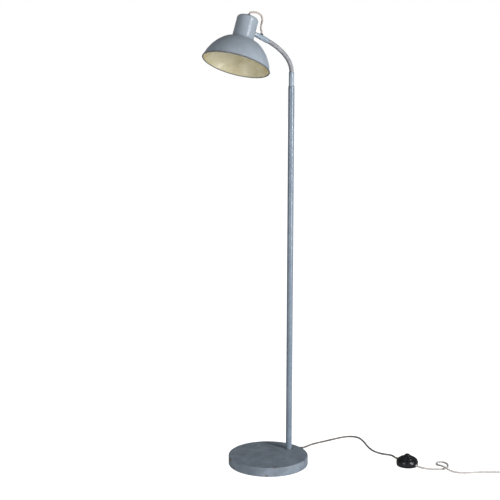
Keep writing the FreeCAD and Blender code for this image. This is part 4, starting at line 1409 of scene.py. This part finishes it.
@dataclass
class Cords:
    """Smooth lead to the switch, cloth flex on to the plug, and the loop at the head."""

    lead_route: tuple = (
        (0.147, 0.026, 0.011), (0.1565, 0.026, 0.011), (0.170, 0.0295, 0.0062), (0.190, 0.038, 0.0031),
        (0.221, 0.0445, 0.0031), (0.270, 0.041, 0.0031), (0.324, 0.0375, 0.0031), (0.366, 0.033, 0.0031),
        (0.3925, 0.006, 0.0031), (0.3775, -0.038, 0.0031), (0.3515, -0.084, 0.0031),
        (0.3345, -0.128, 0.0031), (0.3385, -0.166, 0.0034), (0.3505, -0.190, 0.0050),
        (0.3425, -0.2135, 0.0085), (0.3302, -0.2375, 0.011), (0.33165, -0.24975, 0.011),
    )
    flex_route: tuple = (
        (0.33935, -0.31025, 0.0075), (0.3415, -0.324, 0.0068), (0.3475, -0.338, 0.0044),
        (0.361, -0.3555, 0.0036), (0.3765, -0.3705, 0.0036), (0.392, -0.380, 0.0036),
        (0.4075, -0.3805, 0.0036), (0.421, -0.3735, 0.0036), (0.4315, -0.3630, 0.0036),
        (0.4395, -0.3495, 0.0036), (0.4385, -0.3355, 0.0036), (0.4285, -0.3275, 0.0036),
        (0.4155, -0.3295, 0.0036), (0.405, -0.3405, 0.0038), (0.399, -0.3545, 0.0072),
        (0.395, -0.3705, 0.0113), (0.392, -0.3875, 0.0113), (0.3925, -0.4025, 0.0078),
        (0.3985, -0.4165, 0.0043), (0.408, -0.430, 0.0036), (0.428, -0.4465, 0.0036),
        (0.4595, -0.465, 0.0036), (0.4905, -0.4865, 0.0036), (0.516, -0.509, 0.0036),
    )
    tail_route: tuple = (
        (0.007, -0.0463, 0.01105), (0.017, -0.0463, 0.01105), (0.034, -0.043, 0.0094), (0.050, -0.032, 0.006),
        (0.060, -0.015, 0.0054), (0.0632, 0.003, 0.00695), (0.0632, 0.017, 0.00695),
    )
    coil_at: tuple = (0.5885, -0.509, 0.0)
    coil_turn: float = -37.75
    coil_radius: float = 0.0463
    coil_step: float = 0.00375
    coil_low: float = 0.00355
    flex_diameter: float = 0.007
    lead_diameter: float = 0.006
    head_diameter: float = 0.0064
    lay: float = 0.023

    def coil_points(self) -> np.ndarray:
        """Control points of the coil, 16 to a turn, in the coil's own place.

        Half turn k has radius R - step k on the way in and the same back on the way out, about a centre
        that keeps the ends joined. The points stand 1.9% outside the turns, because the curve runs that
        much inside them.
        """
        radii = self.coil_radius - self.coil_step * np.array([0, 1, 2, 3, 4, 3, 2, 1])
        angle = np.radians(-90 + 22.5 * (np.arange(8) + 0.5))
        y, z, rows = -self.coil_radius, self.coil_low, []
        for k, radius in enumerate(radii):
            side = 1 if k % 2 == 0 else -1
            rise = 2 * self.coil_step if k == 4 else 0.0
            wide = radius * 1.019
            rows.append(np.stack([
                side * wide * np.cos(angle), y + side * radius + side * wide * np.sin(angle),
                z + rise * (np.arange(8) + 0.5) / 8,
            ], 1))
            y, z = y + side * 2 * radius, z + rise
        return np.concatenate(rows)

    def flex_points(self) -> list:
        """The whole flex's control points in the row frame: the run, the coil and the tail."""
        into = np.array(
            [(-0.032, -self.coil_radius, self.coil_low), (-0.007, -self.coil_radius, self.coil_low)]
        )
        local = np.concatenate([into, self.coil_points(), np.array(self.tail_route)])
        wound = local @ turn_z(self.coil_turn).T + np.array(self.coil_at)
        return [*self.flex_route, *wound.tolist()]

    def build(self, paint: Paintbox, head: Head, sleeve: EndSleeve) -> None:
        """Builds and dresses the cords and what is on them."""
        lead = nurbs("floor_lead", list(self.lead_route), self.lead_diameter / 2)
        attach(dress(lead, paint.lead), "stand")
        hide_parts("floor_cord_base")
        long_run = length_of(read_line(list(self.lead_route), 0.004))
        earth = self.build_earth_core(paint)
        report(lead, f"smooth lead, {long_run:.3f} m")
        plug = Plug().build(paint)
        line = read_line(self.flex_points(), self.lay / 14)
        flex = twisted_cores("floor_flex", line / MM, self.flex_diameter / MM, self.lay / MM, (0.0, 0.0, 1.0))
        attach(dress(flex, paint.floor_cloth), "stand")
        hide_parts("floor_cord_switch", "floor_cord_coil", "floor_cord_tail")
        report(flex, f"twisted cloth flex, {length_of(line):.3f} m")
        self.build_head_loop(paint, head, sleeve)

    def build_earth_core(self, paint: Paintbox) -> bpy.types.Object:
        """The glimpse of a loose core beside the lead where it enters the switch."""
        route = [
            (0.3290, -0.2330, 0.0125), (0.3258, -0.2385, 0.0160), (0.3264, -0.2435, 0.0168),
            (0.3290, -0.2495, 0.0150),
        ]
        core = nurbs("earth_core", route, 0.0018)
        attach(dress(core, paint.core_leaf), "stand")
        return report(core, "earth core at the switch")

    def build_head_loop(self, paint: Paintbox, head: Head, sleeve: EndSleeve) -> None:
        """The loop of cloth flex from the end sleeve's bush into the crown of the head."""
        route = [
            sleeve.place.at(4.6, 0, sleeve.bush_at), sleeve.place.at(13, 0, sleeve.bush_at),
            (-0.0345, 0.0003, 1.3445), (-0.0335, 0.0004, 1.3555), (-0.029, 0.0006, 1.3655),
            (-0.028, 0.001, 1.378), (-0.0365, 0.0018, 1.3885), (-0.0535, 0.003, 1.393),
            head.place.at(0, 0, 51.8), head.place.at(0, 0, 41.1),
        ]
        line = read_line(route, self.lay / 16)
        loop = twisted_cores(
            "head_loop", line / MM, self.head_diameter / MM, self.lay / MM, (0.0, 1.0, 0.0), 12,
        )
        dress(loop, paint.cloth)
        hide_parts("head_flex")
        head.place.at(0, 0, 46.0)
        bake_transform(loop)
        report(loop, f"flex loop at the head, {length_of(line):.3f} m")


@dataclass
class Plug:
    """Flat two-pin plug at the flex's end."""

    length: float = 36.0
    pin_spacing: float = 18.6
    pin_radius: float = 2.0
    pin_length: float = 19.0

    @property
    def place(self) -> Place:
        """Local Z runs from the flex to the pins, which lie side by side."""
        spin = turn_z(-37.75)
        at = spin @ np.array([63.2, 17.0, 6.95]) + np.array([588.5, -509.0, 0.0])
        return Place(tuple(at), spin @ turn_x(-90))

    def build(self, paint: Paintbox) -> list:
        """Builds the body and the pins.

        The body's section is a rounded oblong, x = w sign(cos a) |cos a|^0.5, y = h sign(sin a) |sin a|^0.5,
        with w and h read along the body and small grips pressed into its flanks.

        Returns:
            The two pieces.
        """
        z = np.linspace(0, self.length, 73)
        w = np.interp(z, [0, 9, 13, 17, 24, self.length], [4.4, 5.4, 7.6, 10.5, 13.0, 13.0])
        h = np.interp(z, [0, 9, 17, 24, self.length], [4.3, 4.8, 6.4, 6.85, 6.85])
        grips = 0.5 * np.sin(np.pi * np.clip((z - 17) / 12, 0, 1)) * (0.5 + 0.5 * np.cos(2 * np.pi * z / 3.0))
        edge = np.minimum(1, np.sqrt(np.clip((self.length - z) / 1.2, 0, 1)) * 0.08 + 0.92)
        angle = np.linspace(0, 2 * np.pi, 64, endpoint=False)
        c, s = np.cos(angle), np.sin(angle)
        x = ((w - grips) * edge)[:, None] * np.sign(c) * np.abs(c) ** 0.5
        y = ((h - 0.3 * grips) * edge)[:, None] * np.sign(s) * np.abs(s) ** 0.5
        grid = np.stack([x, y, z[:, None] + 0 * angle], -1)
        body = grid_mesh("plug_shell", self.place.put(capped(grid)), sharp=50.0)
        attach(dress(body, paint.rubber), "stand")
        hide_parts("plug_body")
        report(body, "flat plug with grips")
        pins = []
        tip = self.length + self.pin_length
        for side in (-1, 1):
            outline = rounded(
                [
                    (0.0, self.length - 1), (self.pin_radius, self.length - 1), (self.pin_radius, tip, 0.9),
                    (0.0, tip),
                ],
                5,
            )
            shift = self.place.put(np.array([side * self.pin_spacing / 2, 0.0, 0.0]))
            pins.append(
                turned(f"pin_{side}", outline, Place(tuple(shift), self.place.turn), 28, closed=False)
            )
        pair = joined("plug_pin_pair", pins)
        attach(dress(pair, paint.brass), "stand")
        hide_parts("plug_pins")
        report(pair, "two round pins")
        return [body, pair]


# ---------------------------------------------------------------- studio


@dataclass
class Studio:
    """Pale floor, soft light and the camera at the photograph's place."""

    eye: Point = (-2.0728, -2.5817, 1.22065)
    heading: float = -37.75
    pitch: float = -9.24
    roll: float = 0.08
    lens: float = 78.93
    glow: float = 1.0
    ambient: float = 0.14

    def build(self) -> None:
        """Sets up the camera, the floor and the lights."""
        self.camera()
        self.floor()
        self.lights()

    def camera(self) -> None:
        """Camera turned by heading about Z, then pitch, then roll about its own view."""
        data = bpy.data.cameras.new("camera")
        data.lens = self.lens
        data.sensor_width = 36.0
        data.clip_end = 100.0
        camera = bpy.data.objects.new("camera", data)
        turn = turn_z(self.heading) @ turn_x(90 + self.pitch) @ turn_z(self.roll)
        whole = np.eye(4)
        whole[:3, :3] = turn
        whole[:3, 3] = self.eye
        camera.matrix_world = Matrix(whole.tolist())
        bpy.context.scene.collection.objects.link(camera)
        bpy.context.scene.camera = camera

    def floor(self) -> None:
        """Large plain pale floor."""
        corners = np.array([[(-20, -20, 0), (20, -20, 0)], [(-20, 20, 0), (20, 20, 0)]], float) / MM
        floor = grid_mesh("floor", corners, Wrap.NONE)
        material, b, shader, place = started("floor_paint")
        soft = b.noise(place, 0.8, 2.0, 0.4)
        shade = b.mix(soft, (0.7, 0.7, 0.7, 1), (0.73, 0.73, 0.73, 1))
        b.tree.links.new(shade, shader.inputs["Base Color"])
        seen = b.add("LightPath").outputs["Is Camera Ray"]
        b.tree.links.new(b.math("MULTIPLY", seen, self.glow), shader.inputs["Emission Strength"])
        shader.inputs["Emission Color"].default_value = (1, 1, 1, 1)
        shader.inputs["Roughness"].default_value = 0.9
        shader.inputs["Specular IOR Level"].default_value = 0.1
        floor.data.materials.append(material)

    def lights(self) -> None:
        """White surroundings, an upright soft light right of the camera and a fainter one left of it."""
        scene = bpy.context.scene
        scene.view_settings.view_transform = "Standard"
        world = bpy.data.worlds.new("studio")
        scene.world = world
        world.use_nodes = True
        board = Board(world.node_tree)
        ground = next(n for n in world.node_tree.nodes if n.bl_idname == "ShaderNodeBackground")
        seen = board.add("LightPath").outputs["Is Camera Ray"]
        strength = board.add("MapRange", {0: seen, 3: self.ambient, 4: 1.0}).outputs[0]
        world.node_tree.links.new(strength, ground.inputs["Strength"])
        ground.inputs["Color"].default_value = (1, 1, 1, 1)
        self.softbox("key_light", (0.7, -3.3, 1.35), (0.0, 0.0, 1.3), (0.8, 2.5), 122.0)
        self.softbox("fill_light", (-3.2, -0.9, 1.35), (0.0, 0.0, 1.3), (0.5, 2.5), 38.0)

    @staticmethod
    def softbox(name: str, at: Point, towards: Point, size: tuple[float, float], power: float) -> None:
        """One upright area light that looks at a point.

        Args:
            name: Name of the light.
            at: Where it stands, in metres.
            towards: What it looks at.
            size: Its width and height in metres.
            power: Its power in watts.
        """
        data = bpy.data.lights.new(name, "AREA")
        data.shape = "RECTANGLE"
        data.size, data.size_y = size
        data.energy = power
        light = bpy.data.objects.new(name, data)
        back = np.array(at) - np.array(towards)
        back /= np.linalg.norm(back)
        right = np.cross([0.0, 0.0, 1.0], back)
        right /= np.linalg.norm(right)
        whole = np.eye(4)
        whole[:3, :3] = np.stack([right, np.cross(back, right), back], 1)
        whole[:3, 3] = at
        light.matrix_world = Matrix(whole.tolist())
        bpy.context.scene.collection.objects.link(light)


def main() -> None:
    """Builds the lamp piece by piece."""
    logging.basicConfig(level=logging.INFO, format="%(message)s")
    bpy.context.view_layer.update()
    Studio().build()
    paint = Paintbox()
    head, sleeve = Head(), EndSleeve()
    FootSwitch().build(paint)
    Cords().build(paint, head, sleeve)
    Base().build(paint)
    Pole().build(paint)
    Gooseneck().build(paint)
    sleeve.build(paint)
    head.build(paint)


if __name__ == "__main__":
    main()
